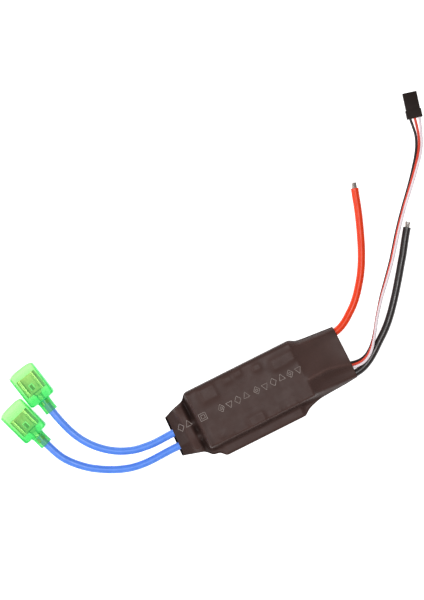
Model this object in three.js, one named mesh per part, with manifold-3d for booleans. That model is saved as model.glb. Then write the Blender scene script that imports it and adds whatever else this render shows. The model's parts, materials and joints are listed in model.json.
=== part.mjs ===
// Electronic speed controller for a brushed motor: a circuit board in a heat-shrink sleeve, with its leads.
// Millimetres, +Z up. The origin is the middle of the sleeve's underside, where it rests on a surface.
// +X runs to the battery end, -X to the motor end, and -Y is the side where the heat spreader stands out.
// All leads lie on the surface z = 0.
import * as THREE from "three";
import { mergeVertices } from "three/addons/utils/BufferGeometryUtils.js";
import Module from "manifold-3d";

const wasm = await Module();
wasm.setup();

// ---------------------------------------------------------------- driving dimensions

const GAP = 0.3; // between neighbouring solids
const LAP = 1.0; // how far the joined pieces of one solid run into each other, and cutters past a face

const SLEEVE_WALL = 0.5;
const SLEEVE_EDGE_RADIUS = 1.8;
const SLEEVE_FOOT_RADIUS = 1.0; // where the sides meet the underside
const SLEEVE_INNER_RADIUS = 0.6; // where the high part meets the shelf
const SHELF_UNDER_ROOF = 0.3; // least step from the shelf up to the roof
const CORNER_SHARE = { across: 0.45, up: 0.6, inner: 0.3 }; // most that a corner takes of a short stretch
const ARC_STEPS = 3; // straight steps in each rounded corner of the sleeve's section

const BOARD = { xLow: -35.4, xHigh: 26.0, yLow: -12.2, yHigh: 19.2, under: 8.8, thick: 1.2, corner: 1.0 };
const BOARD_TOP = BOARD.under + BOARD.thick;
const UNDERSIDE_PADS = BOARD.under - GAP; // where parts hanging under the board end
const TOP_PADS = BOARD_TOP + GAP; // where parts on the board begin

const SPREADER = { xLow: -29.7, xHigh: 16.7, yLow: -19.3, yHigh: -0.6, base: 0.8, thick: 2.0, corner: 0.8 };

const MOSFET_COUNT = 4;
const MOSFET_PITCH = 11.4;
const MOSFET_CENTRE_X = -6.5;
const MOSFET = { width: 10, tabLength: 6.8, tabThick: 1.3, bodyLength: 9.2, bodyHeight: 4.4, tabEnd: -19.1 };
const MOSFET_HOLE = { radius: 1.8, fromTabEnd: 2.9, sides: 12 };
const MOSFET_LEAD = { pitch: 2.54, width: 0.8, thick: 0.5, reach: 2.6, height: 2.4 };

const CHIP_FOOT = { length: 0.9, width: 0.5, thick: 0.35 };
const CHIPS = {
  gate_driver: { x: 16.7, y: 12.3, z: TOP_PADS, size: [7.5, 4.8, 1.2], leadsPerSide: 4 },
  voltage_regulator: { x: -24.1, y: 14.6, z: TOP_PADS, size: [7.5, 6.8, 1.3], leadsPerSide: 2 },
  microcontroller: { x: -19, y: 11.5, z: UNDERSIDE_PADS - 1.4, size: [9, 7.6, 1.4], leadsPerSide: 8 },
};
const RESONATOR = { x: -7.1, y: -9.4, size: [8, 4.8, 1.2] };
const FREEWHEEL_DIODE = { x: 23.3, y: 12.6, size: [3.2, 4.2, 1.2] };
const CERAMIC_CAPACITOR_SIZE = [3.2, 2.5, 1.1];
const CERAMIC_CAPACITORS = [[-12.2, 16.4], [-5.6, 17.2], [4.9, 15.1]]; // x, y
const CHIP_RESISTOR_SIZE = [2.0, 1.6, 0.9];
const CHIP_RESISTORS = [[5.4, -10.8], [10.8, -10.9], [14.6, -10.9], [-27.4, -8.7], [-22.5, -10.0]]; // x, y

const FILTER_CAPACITOR = { x: -4.0, radius: 3.7, length: 15, sides: 16 };
const FILTER_CAPACITOR_ROWS = [6.0, 14.2]; // y
const FILTER_CAPACITOR_LEAD = { pitch: 2.4, size: 0.6, reach: 2.0 };

const POWER_JOINT = { radius: 2.4, height: 2.6, setBack: 3.4 };
const SIGNAL_JOINT = { radius: 0.55, height: 0.9, setBack: 1.2 };
const JOINT_SIDES = 12;
const JOINT_ARC_STEPS = 5;

const POWER_WIRE_RADIUS = 2.05; // 4.1 mm over the silicone
const POWER_WIRE_SIDES = 10;
const CONDUCTOR_RADIUS = 1.25; // 12 AWG strands
const CONDUCTOR_SIDES = 8;
const CONDUCTOR_RISE = 0.05; // of a bare conductor over the middle of its lead at a joint
const SIGNAL_CONDUCTOR_RADIUS = 0.3;
const SIGNAL_WIRE_RADIUS = 0.6;
const SIGNAL_WIRE_SIDES = 8;
const TUBE_STEP = 2; // diameters between the sections of a tube

const TIP_POSITIVE = { length: 3.0, bundles: [0], radius: CONDUCTOR_RADIUS, splay: 0 };
const TIP_NEGATIVE = { length: 3.2, bundles: [-1, 1], radius: CONDUCTOR_RADIUS * 0.7, splay: 0.5 };
const TIP_BUNDLE_OFFSET = 0.48; // from the lead's axis to each of two bundles
const TIP_TAPER = 0.85;
const TIP_SIDES = 10;

const COVER = { length: 28.3, wide: 15.2, high: 7.0, shoulder: 20.9, neck: 7.0, wall: 0.6, mouthBow: 1.3 };
const COVER_STEPS = 7; // points on each quarter of the cover's section
const COVER_AXIS_Z = COVER.high / 2;

const TERMINAL = { length: 10.6, wide: 11.8, high: 3.6, sheet: 0.5, waist: 4.2, waistLength: 1.6 };
const TERMINAL_BARREL = { radius: 1.75, length: 3.3, sides: 14 };
const TERMINAL_HEEL = { length: 1.2, wide: 2.4 }; // joins the barrel down to the waist
const CURL_STEPS = 7;
const CURL_END_DEGREES = 186; // how far each side rolls round from the base plate
const LOCK_WINDOW = { fromFront: 7.0, length: 2.4, width: 2.2 };

const PLUG = { length: 14, wide: 7.6, rearWide: 8.4, rearLength: 4.6, high: 2.6, pitch: 2.54 };
const PLUG_CHANNEL = 1.9; // square channel of each contact
const PLUG_PIN_HOLE = 1.0; // square hole that a header pin enters
const PLUG_FRONT_WALL = 3.0;
const PLUG_CHAMFER = 0.5;
const CONTACT = { length: 6.5, size: 1.3 };

// Each terminal lies along its own axis. The mouth is the middle of the cover's open end; the heading is
// the direction from the mouth to the wire, in degrees from +X; inset is how far the receptacle sits
// behind the mouth.
const TERMINALS = {
  a: { mouth: [-108.92, 70.86], heading: -78.5, inset: 4.8 },
  b: { mouth: [-122.78, 55.36], heading: -71.5, inset: 6.5 },
};
const PLUG_PLACE = { rear: [140.8, 96.0], heading: 75.6 };

// ---------------------------------------------------------------- routes of the leads: x, y, z

const MOTOR_LEAD_A_ROUTE = [
  [-34.6, 3.6, 6.1], [-37.2, 3.6, 4.7], [-40.2, 3.5, 4.0], [-43.8, 3.4, 4.0], [-47.6, 3.4, 3.4],
  [-51.6, 3.4, 2.7], [-57.1, 3.2, 2.3], [-62.4, 3.1, 2.1], [-67.8, 3.6, 2.1], [-73.0, 4.5, 2.1],
  [-78.1, 6.3, 2.1], [-82.9, 8.8, 2.1], [-87.3, 12.0, 2.1], [-91.2, 15.7, 2.1], [-94.6, 19.9, 2.1],
  [-97.4, 24.5, 2.2], [-99.5, 29.3, 2.5], [-101.0, 34.0, 3.0], [-102.3, 38.9, 3.4], [-103.4, 43.8, 3.5],
  [-104.3, 48.25, 3.5], [-104.78, 50.6, 3.5],
];
const MOTOR_LEAD_B_ROUTE = [
  [-34.6, -4.2, 6.1], [-37.2, -4.2, 4.7], [-40.2, -4.2, 4.0], [-43.8, -4.1, 4.0], [-47.6, -4.1, 3.4],
  [-51.6, -4.1, 2.7], [-57.0, -4.1, 2.3], [-62.4, -4.3, 2.1], [-68.5, -4.4, 2.1], [-74.3, -4.0, 2.1],
  [-79.6, -3.0, 2.1], [-84.7, -1.3, 2.1], [-89.6, 0.9, 2.1], [-94.3, 3.6, 2.1], [-98.8, 6.6, 2.1],
  [-102.8, 10.1, 2.3], [-106.4, 14.0, 2.7], [-109.3, 18.0, 3.2], [-111.4, 22.3, 3.45], [-113.0, 26.6, 3.5],
  [-114.95, 31.94, 3.5], [-115.7, 34.22, 3.5],
];
const BATTERY_LEAD_POSITIVE_ROUTE = [
  [23.4, 14.2, 6.2], [26.4, 14.4, 5.5], [30.0, 14.3, 4.4], [34.0, 14.0, 3.5], [39.0, 13.5, 3.0],
  [45.0, 12.8, 2.8], [51.0, 12.8, 2.65], [54.8, 13.8, 2.4], [58.4, 15.6, 2.2], [62.0, 18.1, 2.1],
  [66.1, 21.3, 2.1], [69.9, 25.1, 2.1], [73.3, 29.2, 2.1], [76.5, 33.5, 2.1], [79.4, 38.1, 2.1],
  [81.9, 42.8, 2.1], [84.2, 47.6, 2.1], [86.3, 52.5, 2.1], [88.3, 57.5, 2.1], [90.2, 62.5, 2.1],
  [91.9, 67.4, 2.1], [93.4, 72.2, 2.1], [94.9, 76.8, 2.1],
];
const BATTERY_LEAD_NEGATIVE_ROUTE = [
  [23.4, -9.6, 6.2], [26.4, -9.7, 5.5], [30.0, -10.0, 4.4], [34.0, -10.5, 3.5], [39.0, -11.1, 3.0],
  [45.0, -11.5, 2.8], [51.3, -11.7, 2.6], [54.5, -11.3, 2.4], [57.7, -10.3, 2.2], [61.5, -8.4, 2.1],
  [65.7, -5.5, 2.1], [70.0, -2.2, 2.1], [74.3, 1.0, 2.1], [78.3, 4.5, 2.1], [82.1, 8.4, 2.1],
  [85.6, 12.4, 2.1], [89.0, 16.5, 2.1], [92.3, 20.7, 2.1], [95.6, 25.0, 2.1], [98.8, 29.3, 2.1],
  [102.0, 33.5, 2.1], [105.1, 37.9, 2.1], [108.0, 42.0, 2.1], [110.6, 45.5, 2.1],
];

// The signal lead is a ribbon of three wires. Each row is the middle wire's x, y, z, the ribbon's roll in
// degrees (negative rolls its right-hand wire upwards), and the distance between neighbouring wires.
const SIGNAL_RIBBON_ROUTE = [
  [25.3, -2.9, 7.4, 0, 1.45], [28.5, -2.9, 6.6, -5, 1.45], [32.5, -2.8, 5.5, -10, 1.45],
  [38.0, -2.9, 4.6, -15, 1.45], [43.5, -4.2, 4.2, -18, 1.45], [48.5, -6.1, 3.9, -24, 1.45],
  [53.0, -7.3, 3.75, -32, 1.45], [56.9, -7.4, 3.55, -43, 1.45], [60.5, -6.2, 3.4, -56, 1.45],
  [64.1, -3.6, 3.2, -70, 1.45], [67.2, -0.3, 2.7, -81, 1.45], [70.6, 4.1, 2.25, -87, 1.45],
  [73.8, 8.7, 2.2, -88, 1.45], [77.6, 13.6, 2.2, -86, 1.45], [81.5, 18.4, 2.2, -81, 1.45],
  [86.0, 23.3, 2.15, -76, 1.45], [90.6, 28.3, 2.15, -73, 1.45], [95.3, 33.6, 2.1, -71, 1.45],
  [99.7, 39.1, 2.1, -70, 1.45], [104.3, 44.9, 2.1, -69, 1.45], [109.2, 50.7, 2.1, -68, 1.45],
  [114.6, 56.7, 2.05, -66, 1.45], [120.0, 62.4, 2.0, -62, 1.45], [124.9, 67.7, 1.95, -56, 1.45],
  [129.3, 72.7, 1.8, -46, 1.45], [133.1, 77.3, 1.6, -35, 1.45], [136.3, 82.1, 1.35, -22, 1.45],
  [138.6, 87.3, 1.2, -12, 1.55], [140.0, 92.3, 1.25, -4, 2.1], [140.9, 96.4, 1.3, 0, 2.54],
  [141.6, 99.1, 1.3, 0, 2.54],
];

// ---------------------------------------------------------------- materials

const paint = (color, roughness, metalness = 0) =>
  new THREE.MeshStandardMaterial({ color, roughness, metalness });

const MATERIALS = {
  sleeve: paint(0x52433f, 0.5),
  board: paint(0x1f5a35, 0.5),
  aluminium: paint(0xb4b6b8, 0.4, 1),
  chip: paint(0x1e1e20, 0.55),
  capacitor: paint(0x1d2b5a, 0.4),
  ceramic: paint(0xa98c66, 0.5),
  solder: paint(0xb9bbc0, 0.35, 1),
  tin: paint(0xc2bdb2, 0.3, 1),
  blueWire: paint(0x5c8cec, 0.4),
  redWire: paint(0xec4f2c, 0.4),
  blackWire: paint(0x2b2525, 0.45),
  redSignal: paint(0xd94a38, 0.45),
  whiteSignal: paint(0xe8e4e4, 0.45),
  cover: new THREE.MeshStandardMaterial({ color: 0x45e07c, roughness: 0.2, transparent: true, opacity: 0.6 }),
  plug: paint(0x2b2421, 0.5),
};

// ---------------------------------------------------------------- solids

// A closed geometry as a manifold-3d solid.
function toSolid(geometry) {
  const bare = geometry.clone();
  bare.deleteAttribute("normal");
  bare.deleteAttribute("uv");
  const merged = mergeVertices(bare, 1e-4);
  return new wasm.Manifold(
    new wasm.Mesh({
      numProp: 3,
      vertProperties: new Float32Array(merged.attributes.position.array),
      triVerts: new Uint32Array(merged.index.array),
    }),
  );
}

function toGeometry(solid) {
  const mesh = solid.getMesh();
  return new THREE.BufferGeometry()
    .setAttribute("position", new THREE.BufferAttribute(new Float32Array(mesh.vertProperties), 3))
    .setIndex(new THREE.BufferAttribute(new Uint32Array(mesh.triVerts), 1));
}

const join = (...geometries) => toGeometry(geometries.map(toSolid).reduce((a, b) => a.add(b)));

const cut = (geometry, ...tools) =>
  toGeometry(tools.map(toSolid).reduce((a, b) => a.subtract(b), toSolid(geometry)));

// A block from its lowest and highest corners.
function block(low, high) {
  const size = high.map((v, i) => v - low[i]);
  const middle = high.map((v, i) => (v + low[i]) / 2);
  return new THREE.BoxGeometry(...size).translate(...middle);
}

// A rod from one point to another.
function rod(from, to, radius, sides, endRadius = radius) {
  const start = new THREE.Vector3(...from);
  const along = new THREE.Vector3(...to).sub(start);
  const turn = new THREE.Quaternion().setFromUnitVectors(
    new THREE.Vector3(0, 1, 0),
    along.clone().normalize(),
  );
  const middle = start.addScaledVector(along, 0.5);
  return new THREE.CylinderGeometry(endRadius, radius, along.length(), sides)
    .applyQuaternion(turn)
    .translate(middle.x, middle.y, middle.z);
}

// A rectangle with round corners, as a shape.
function roundedRectangle(xLow, yLow, xHigh, yHigh, radius) {
  return new THREE.Shape()
    .moveTo(xLow + radius, yLow)
    .lineTo(xHigh - radius, yLow)
    .absarc(xHigh - radius, yLow + radius, radius, -Math.PI / 2, 0)
    .absarc(xHigh - radius, yHigh - radius, radius, 0, Math.PI / 2)
    .absarc(xLow + radius, yHigh - radius, radius, Math.PI / 2, Math.PI)
    .absarc(xLow + radius, yLow + radius, radius, Math.PI, Math.PI * 1.5);
}

const extrude = (shape, depth, curveSegments = 3) =>
  new THREE.ExtrudeGeometry(shape, { depth, bevelEnabled: false, curveSegments });

// A round tube through a route's points.
function tube(route, radius, sides) {
  const curve = new THREE.CatmullRomCurve3(
    route.map(([x, y, z]) => new THREE.Vector3(x, y, z)),
    false,
    "centripetal",
  );
  const steps = Math.round(curve.getLength() / (2 * radius * TUBE_STEP));
  const section = new THREE.Shape(
    Array.from({ length: sides }, (_, i) => {
      const angle = (2 * Math.PI * i) / sides;
      return new THREE.Vector2(radius * Math.cos(angle), radius * Math.sin(angle));
    }),
  );
  return new THREE.ExtrudeGeometry(section, { steps, bevelEnabled: false, extrudePath: curve });
}

// A thin shell, open at both ends, between matching rows of outer and inner rings.
function shell(outer, inner) {
  const count = outer[0].length;
  const rings = [...outer, ...inner];
  const positions = rings.flat(2);
  const faces = [];
  const quad = (a, b, c, d) => faces.push(a, b, c, a, c, d);
  for (let i = 0; i < count; i++) {
    const next = (i + 1) % count;
    for (let row = 0; row < outer.length - 1; row++) {
      const here = row * count;
      const there = here + count;
      quad(here + i, here + next, there + next, there + i);
      const inHere = (outer.length + row) * count;
      const inThere = inHere + count;
      quad(inHere + next, inHere + i, inThere + i, inThere + next);
    }
    const firstIn = outer.length * count;
    const last = (outer.length - 1) * count;
    const lastIn = firstIn + last;
    quad(firstIn + i, firstIn + next, next, i);
    quad(last + i, last + next, lastIn + next, lastIn + i);
  }
  return new THREE.BufferGeometry()
    .setAttribute("position", new THREE.Float32BufferAttribute(positions, 3))
    .setIndex(faces);
}

// ---------------------------------------------------------------- the assembly

const controller = new THREE.Group();

function add(name, geometry, material, parent = controller) {
  const mesh = new THREE.Mesh(geometry, material);
  mesh.name = name;
  parent.add(mesh);
  return mesh;
}

// ---------------------------------------------------------------- heat-shrink sleeve

// Sections of the sleeve along X. The high part stands over the board and the shelf over the heat
// spreader's edge: x, low and high edge in Y, where the high part begins in Y, shelf height, top height.
const SLEEVE_SECTIONS = [
  [-51.1, -9.9, 13.1, -8.3, 5.0, 5.6],
  [-47.5, -11.0, 14.2, -9.4, 5.6, 6.4],
  [-43.5, -12.1, 15.4, -10.5, 6.2, 7.3],
  [-40.0, -13.1, 16.3, -11.4, 6.0, 7.2],
  [-38.4, -14.6, 17.1, -12.2, 6.2, 8.6],
  [-37.0, -16.3, 19.2, -12.9, 6.4, 11.6],
  [-36.0, -16.7, 20.1, -13.1, 6.2, 12.3],
  [-32.8, -17.1, 20.1, -13.2, 6.0, 12.4],
  [-30.3, -20.1, 20.1, -13.2, 5.6, 12.4],
  [17.1, -20.1, 20.1, -13.2, 5.6, 12.4],
  [19.4, -18.2, 20.1, -13.2, 5.8, 12.4],
  [22.0, -17.0, 20.1, -13.2, 6.0, 12.4],
  [26.3, -15.9, 20.1, -13.2, 6.2, 12.3],
  [27.6, -15.6, 19.4, -13.4, 6.2, 11.6],
  [29.4, -15.4, 18.2, -13.8, 6.1, 10.7],
  [31.6, -15.3, 17.8, -13.8, 6.0, 9.8],
  [36.0, -15.1, 17.3, -13.6, 5.9, 8.4],
  [44.0, -14.8, 16.6, -13.2, 5.8, 7.0],
  [51.1, -14.5, 15.9, -12.9, 5.7, 6.1],
];

// One ring of the sleeve, drawn in by inset on every side, as a stepped outline with round corners.
function sleeveRing([x, yLow, yHigh, step, shelf, top], inset) {
  const low = yLow + inset;
  const high = yHigh - inset;
  const stepY = step + inset;
  const floor = inset;
  const roof = top - inset;
  const shelfZ = Math.min(shelf - inset, roof - SHELF_UNDER_ROOF);
  const convex = SLEEVE_EDGE_RADIUS - inset;
  const foot = SLEEVE_FOOT_RADIUS - inset;
  const across = (stepY - low) * CORNER_SHARE.across;
  const rise = roof - shelfZ;
  const small = Math.min(convex, across, rise * CORNER_SHARE.up);
  const concave = Math.min(SLEEVE_INNER_RADIUS + inset, across, rise * CORNER_SHARE.inner);
  const corners = [
    [low, floor, foot, Math.PI, 1],
    [high, floor, foot, -Math.PI / 2, 1],
    [high, roof, convex, 0, 1],
    [stepY, roof, small, Math.PI / 2, 1],
    [stepY, shelfZ, concave, 0, -1],
    [low, shelfZ, small, Math.PI / 2, 1],
  ];
  return corners.flatMap(([y, z, radius, from, turn]) => {
    const insideY = Math.cos(from) + Math.cos(from + (turn * Math.PI) / 2);
    const insideZ = Math.sin(from) + Math.sin(from + (turn * Math.PI) / 2);
    const centreY = y - radius * Math.sign(Math.round(insideY));
    const centreZ = z - radius * Math.sign(Math.round(insideZ));
    return Array.from({ length: ARC_STEPS + 1 }, (_, i) => {
      const angle = from + (turn * (Math.PI / 2) * i) / ARC_STEPS;
      return [x, centreY + radius * Math.cos(angle), centreZ + radius * Math.sin(angle)];
    });
  });
}

add(
  "heat_shrink_sleeve",
  shell(
    SLEEVE_SECTIONS.map((section) => sleeveRing(section, 0)),
    SLEEVE_SECTIONS.map((section) => sleeveRing(section, SLEEVE_WALL)),
  ),
  MATERIALS.sleeve,
);

// ---------------------------------------------------------------- circuit board and its parts

add(
  "circuit_board",
  extrude(roundedRectangle(BOARD.xLow, BOARD.yLow, BOARD.xHigh, BOARD.yHigh, BOARD.corner), BOARD.thick)
    .translate(0, 0, BOARD.under),
  MATERIALS.board,
);

add(
  "heat_spreader",
  extrude(
    roundedRectangle(SPREADER.xLow, SPREADER.yLow, SPREADER.xHigh, SPREADER.yHigh, SPREADER.corner),
    SPREADER.thick,
  ).translate(0, 0, SPREADER.base),
  MATERIALS.aluminium,
);

// A power transistor lying on the spreader: a drilled tab, a moulded body, and three leads formed up to
// pads under the board.
function mosfet(x) {
  const base = SPREADER.base + SPREADER.thick + GAP;
  const half = MOSFET.width / 2;
  const bodyStart = MOSFET.tabEnd + MOSFET.tabLength;
  const bodyEnd = bodyStart + MOSFET.bodyLength;
  const tabTop = base + MOSFET.tabThick;
  const holeY = MOSFET.tabEnd + MOSFET_HOLE.fromTabEnd;
  const tab = block([x - half, MOSFET.tabEnd, base], [x + half, bodyStart + LAP, tabTop]);
  const hole = rod([x, holeY, base - LAP], [x, holeY, tabTop + LAP], MOSFET_HOLE.radius, MOSFET_HOLE.sides);
  const body = block([x - half, bodyStart, base], [x + half, bodyEnd, base + MOSFET.bodyHeight]);
  const leadZ = base + MOSFET_LEAD.height;
  const leads = [-1, 0, 1].flatMap((i) => {
    const left = x + i * MOSFET_LEAD.pitch - MOSFET_LEAD.width / 2;
    const right = left + MOSFET_LEAD.width;
    const tip = bodyEnd + MOSFET_LEAD.reach;
    return [
      block([left, bodyEnd - LAP, leadZ], [right, tip, leadZ + MOSFET_LEAD.thick]),
      block([left, tip - MOSFET_LEAD.thick, leadZ], [right, tip, UNDERSIDE_PADS]),
    ];
  });
  return join(cut(tab, hole), body, ...leads);
}

for (let i = 0; i < MOSFET_COUNT; i++) {
  const x = MOSFET_CENTRE_X + (i - (MOSFET_COUNT - 1) / 2) * MOSFET_PITCH;
  add("mosfet_" + (i + 1), mosfet(x), MATERIALS.chip);
}

// A chip with flat leads along two sides, centred at x, y with its feet at z.
function chip({ x, y, z, size: [length, width, height], leadsPerSide }) {
  const halfBody = width / 2 - CHIP_FOOT.length;
  const halfFoot = CHIP_FOOT.width / 2;
  const body = block([x - length / 2, y - halfBody, z], [x + length / 2, y + halfBody, z + height]);
  const feet = Array.from({ length: leadsPerSide }, (_, i) => {
    const footX = x + ((i + 0.5) / leadsPerSide - 0.5) * length;
    return block(
      [footX - halfFoot, y - width / 2, z],
      [footX + halfFoot, y + width / 2, z + CHIP_FOOT.thick],
    );
  });
  return join(body, ...feet);
}

// A plain two-ended part on the board, centred at x, y.
const smallPart = (x, y, [length, width, height]) =>
  block([x - length / 2, y - width / 2, TOP_PADS], [x + length / 2, y + width / 2, TOP_PADS + height]);

for (const [name, placed] of Object.entries(CHIPS)) {
  add(name, chip(placed), MATERIALS.chip);
}
add("resonator", smallPart(RESONATOR.x, RESONATOR.y, RESONATOR.size), MATERIALS.tin);
add(
  "freewheel_diode",
  smallPart(FREEWHEEL_DIODE.x, FREEWHEEL_DIODE.y, FREEWHEEL_DIODE.size),
  MATERIALS.chip,
);
CERAMIC_CAPACITORS.forEach(([x, y], i) =>
  add("ceramic_capacitor_" + (i + 1), smallPart(x, y, CERAMIC_CAPACITOR_SIZE), MATERIALS.ceramic),
);
CHIP_RESISTORS.forEach(([x, y], i) =>
  add("chip_resistor_" + (i + 1), smallPart(x, y, CHIP_RESISTOR_SIZE), MATERIALS.chip),
);

// An electrolytic capacitor on its side, its two leads bent up to the board.
function electrolytic(y) {
  const { x, radius, length, sides } = FILTER_CAPACITOR;
  const { pitch, size, reach } = FILTER_CAPACITOR_LEAD;
  const z = SPREADER.base + radius;
  const end = x + length;
  const half = size / 2;
  const can = rod([x, y, z], [end, y, z], radius, sides);
  const leads = [-pitch / 2, pitch / 2].flatMap((side) => {
    const low = y + side - half;
    const high = y + side + half;
    return [
      block([end - LAP, low, z - half], [end + reach, high, z + half]),
      block([end + reach - size, low, z - half], [end + reach, high, UNDERSIDE_PADS]),
    ];
  });
  return join(can, ...leads);
}

FILTER_CAPACITOR_ROWS.forEach((y, i) =>
  add("filter_capacitor_" + (i + 1), electrolytic(y), MATERIALS.capacitor),
);

// A dome of solder under the board, and the bare end of a wire that runs from it to the route's first
// point. The side is 1 where the wire runs towards +X and -1 where it runs towards -X.
function solderJoint([x, y, z], side, { radius, height, setBack }, wireRadius) {
  const profile = Array.from({ length: JOINT_ARC_STEPS + 1 }, (_, i) => {
    const angle = (Math.PI / 2) * (i / JOINT_ARC_STEPS);
    return new THREE.Vector2(radius * Math.sin(angle), -height * Math.cos(angle));
  });
  profile.push(new THREE.Vector2(0, 0));
  const domeX = x - side * setBack;
  const dome = new THREE.LatheGeometry(profile, JOINT_SIDES)
    .rotateX(Math.PI / 2)
    .translate(domeX, y, UNDERSIDE_PADS);
  const from = [domeX, y, UNDERSIDE_PADS - height / 2];
  const to = [x - side * GAP, y, z + CONDUCTOR_RISE];
  return join(dome, rod(from, to, wireRadius, CONDUCTOR_SIDES));
}

const POWER_JOINTS = [
  ["motor_solder_joint_a", MOTOR_LEAD_A_ROUTE, -1],
  ["motor_solder_joint_b", MOTOR_LEAD_B_ROUTE, -1],
  ["battery_solder_joint_positive", BATTERY_LEAD_POSITIVE_ROUTE, 1],
  ["battery_solder_joint_negative", BATTERY_LEAD_NEGATIVE_ROUTE, 1],
];
for (const [name, route, side] of POWER_JOINTS) {
  add(name, solderJoint(route[0], side, POWER_JOINT, CONDUCTOR_RADIUS), MATERIALS.solder);
}

// ---------------------------------------------------------------- power leads

const powerTube = (route) => tube(route, POWER_WIRE_RADIUS, POWER_WIRE_SIDES);

add("motor_lead_a", powerTube(MOTOR_LEAD_A_ROUTE), MATERIALS.blueWire);
add("motor_lead_b", powerTube(MOTOR_LEAD_B_ROUTE), MATERIALS.blueWire);
add("battery_lead_positive", powerTube(BATTERY_LEAD_POSITIVE_ROUTE), MATERIALS.redWire);
add("battery_lead_negative", powerTube(BATTERY_LEAD_NEGATIVE_ROUTE), MATERIALS.blackWire);

// The tinned strands at the end of a battery lead, in line with its last stretch: one bundle, or two
// that splay apart.
function tinnedTip(route, { length, bundles, radius, splay }) {
  const [before, end] = route.slice(-2).map((point) => new THREE.Vector3(...point));
  const along = end.clone().sub(before).normalize();
  const across = new THREE.Vector3(-along.y, along.x, 0);
  const start = end.clone().addScaledVector(along, GAP);
  return join(
    ...bundles.map((side) => {
      const from = start.clone().addScaledVector(across, side * TIP_BUNDLE_OFFSET);
      const to = from.clone().addScaledVector(along, length).addScaledVector(across, side * splay);
      return rod(from.toArray(), to.toArray(), radius, TIP_SIDES, radius * TIP_TAPER);
    }),
  );
}

add("battery_tip_positive", tinnedTip(BATTERY_LEAD_POSITIVE_ROUTE, TIP_POSITIVE), MATERIALS.tin);
add("battery_tip_negative", tinnedTip(BATTERY_LEAD_NEGATIVE_ROUTE, TIP_NEGATIVE), MATERIALS.tin);

// ---------------------------------------------------------------- signal lead

// The route of one wire of the ribbon: place is 1 for the left-hand wire, 0 for the middle, -1 for the right.
function signalRoute(place) {
  return SIGNAL_RIBBON_ROUTE.map(([x, y, z, roll, pitch], i, rows) => {
    const before = rows[Math.max(i - 1, 0)];
    const after = rows[Math.min(i + 1, rows.length - 1)];
    const heading = Math.atan2(after[1] - before[1], after[0] - before[0]);
    const turn = THREE.MathUtils.degToRad(roll);
    const sideways = place * pitch * Math.cos(turn);
    const upwards = place * pitch * Math.sin(turn);
    return [x - sideways * Math.sin(heading), y + sideways * Math.cos(heading), z + upwards];
  });
}

const SIGNAL_WIRES = [
  ["ground", 1, MATERIALS.blackWire],
  ["power", 0, MATERIALS.redSignal],
  ["signal", -1, MATERIALS.whiteSignal],
];
for (const [name, place, material] of SIGNAL_WIRES) {
  const route = signalRoute(place);
  add("signal_wire_" + name, tube(route, SIGNAL_WIRE_RADIUS, SIGNAL_WIRE_SIDES), material);
  add(
    "signal_solder_joint_" + name,
    solderJoint(route[0], 1, SIGNAL_JOINT, SIGNAL_CONDUCTOR_RADIUS),
    MATERIALS.solder,
  );
}

// ---------------------------------------------------------------- servo plug

const plug = new THREE.Group();
plug.position.set(PLUG_PLACE.rear[0], PLUG_PLACE.rear[1], PLUG.high / 2);
plug.rotation.z = THREE.MathUtils.degToRad(PLUG_PLACE.heading);
controller.add(plug);

// The housing runs along +X from its rear, where the wires enter, and is centred on its axis. It is wider
// at the rear, with chamfered long edges, and has one channel for each contact.
function plugHousing() {
  const wideSection = (wide) => {
    const y = wide / 2;
    const z = PLUG.high / 2;
    const c = PLUG_CHAMFER;
    return new THREE.Shape(
      [[-y, -z], [y, -z], [y, z - c], [y - c, z], [-y + c, z], [-y, z - c]].map(
        ([a, b]) => new THREE.Vector2(a, b),
      ),
    );
  };
  const along = (shape, length) =>
    extrude(shape, length).rotateX(Math.PI / 2).rotateZ(Math.PI / 2);
  const body = along(wideSection(PLUG.wide), PLUG.length);
  const rear = along(wideSection(PLUG.rearWide), PLUG.rearLength);
  const half = PLUG_CHANNEL / 2;
  const pin = PLUG_PIN_HOLE / 2;
  const frontWall = PLUG.length - PLUG_FRONT_WALL;
  const channels = [-1, 0, 1].flatMap((i) => {
    const y = i * PLUG.pitch;
    return [
      block([-LAP, y - half, -half], [frontWall, y + half, half]),
      block([frontWall - LAP, y - pin, -pin], [PLUG.length + LAP, y + pin, pin]),
    ];
  });
  return cut(join(body, rear), ...channels);
}

add("servo_plug_housing", plugHousing(), MATERIALS.plug, plug);

for (const [name, place] of SIGNAL_WIRES) {
  const half = CONTACT.size / 2;
  const front = PLUG.length - PLUG_FRONT_WALL - GAP;
  const y = place * PLUG.pitch;
  add(
    "plug_contact_" + name,
    block([front - CONTACT.length, y - half, -half], [front, y + half, half]),
    MATERIALS.tin,
    plug,
  );
}

// ---------------------------------------------------------------- tab terminals and their covers

// The section of the receptacle in Y and Z: a base plate whose two sides roll up and inwards.
function receptacleSection() {
  const outer = TERMINAL.high / 2;
  const inner = outer - TERMINAL.sheet;
  const centre = TERMINAL.wide / 2 - outer;
  const end = THREE.MathUtils.degToRad(CURL_END_DEGREES);
  const start = -Math.PI / 2;
  const arc = (radius, side, backwards) => {
    const points = Array.from({ length: CURL_STEPS + 1 }, (_, i) => {
      const angle = start + ((end - start) * i) / CURL_STEPS;
      return new THREE.Vector2(side * (centre + radius * Math.cos(angle)), radius * Math.sin(angle));
    });
    return backwards ? points.reverse() : points;
  };
  return new THREE.Shape([
    ...arc(outer, 1, false),
    ...arc(inner, 1, true),
    ...arc(inner, -1, false),
    ...arc(outer, -1, true),
  ]);
}

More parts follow.
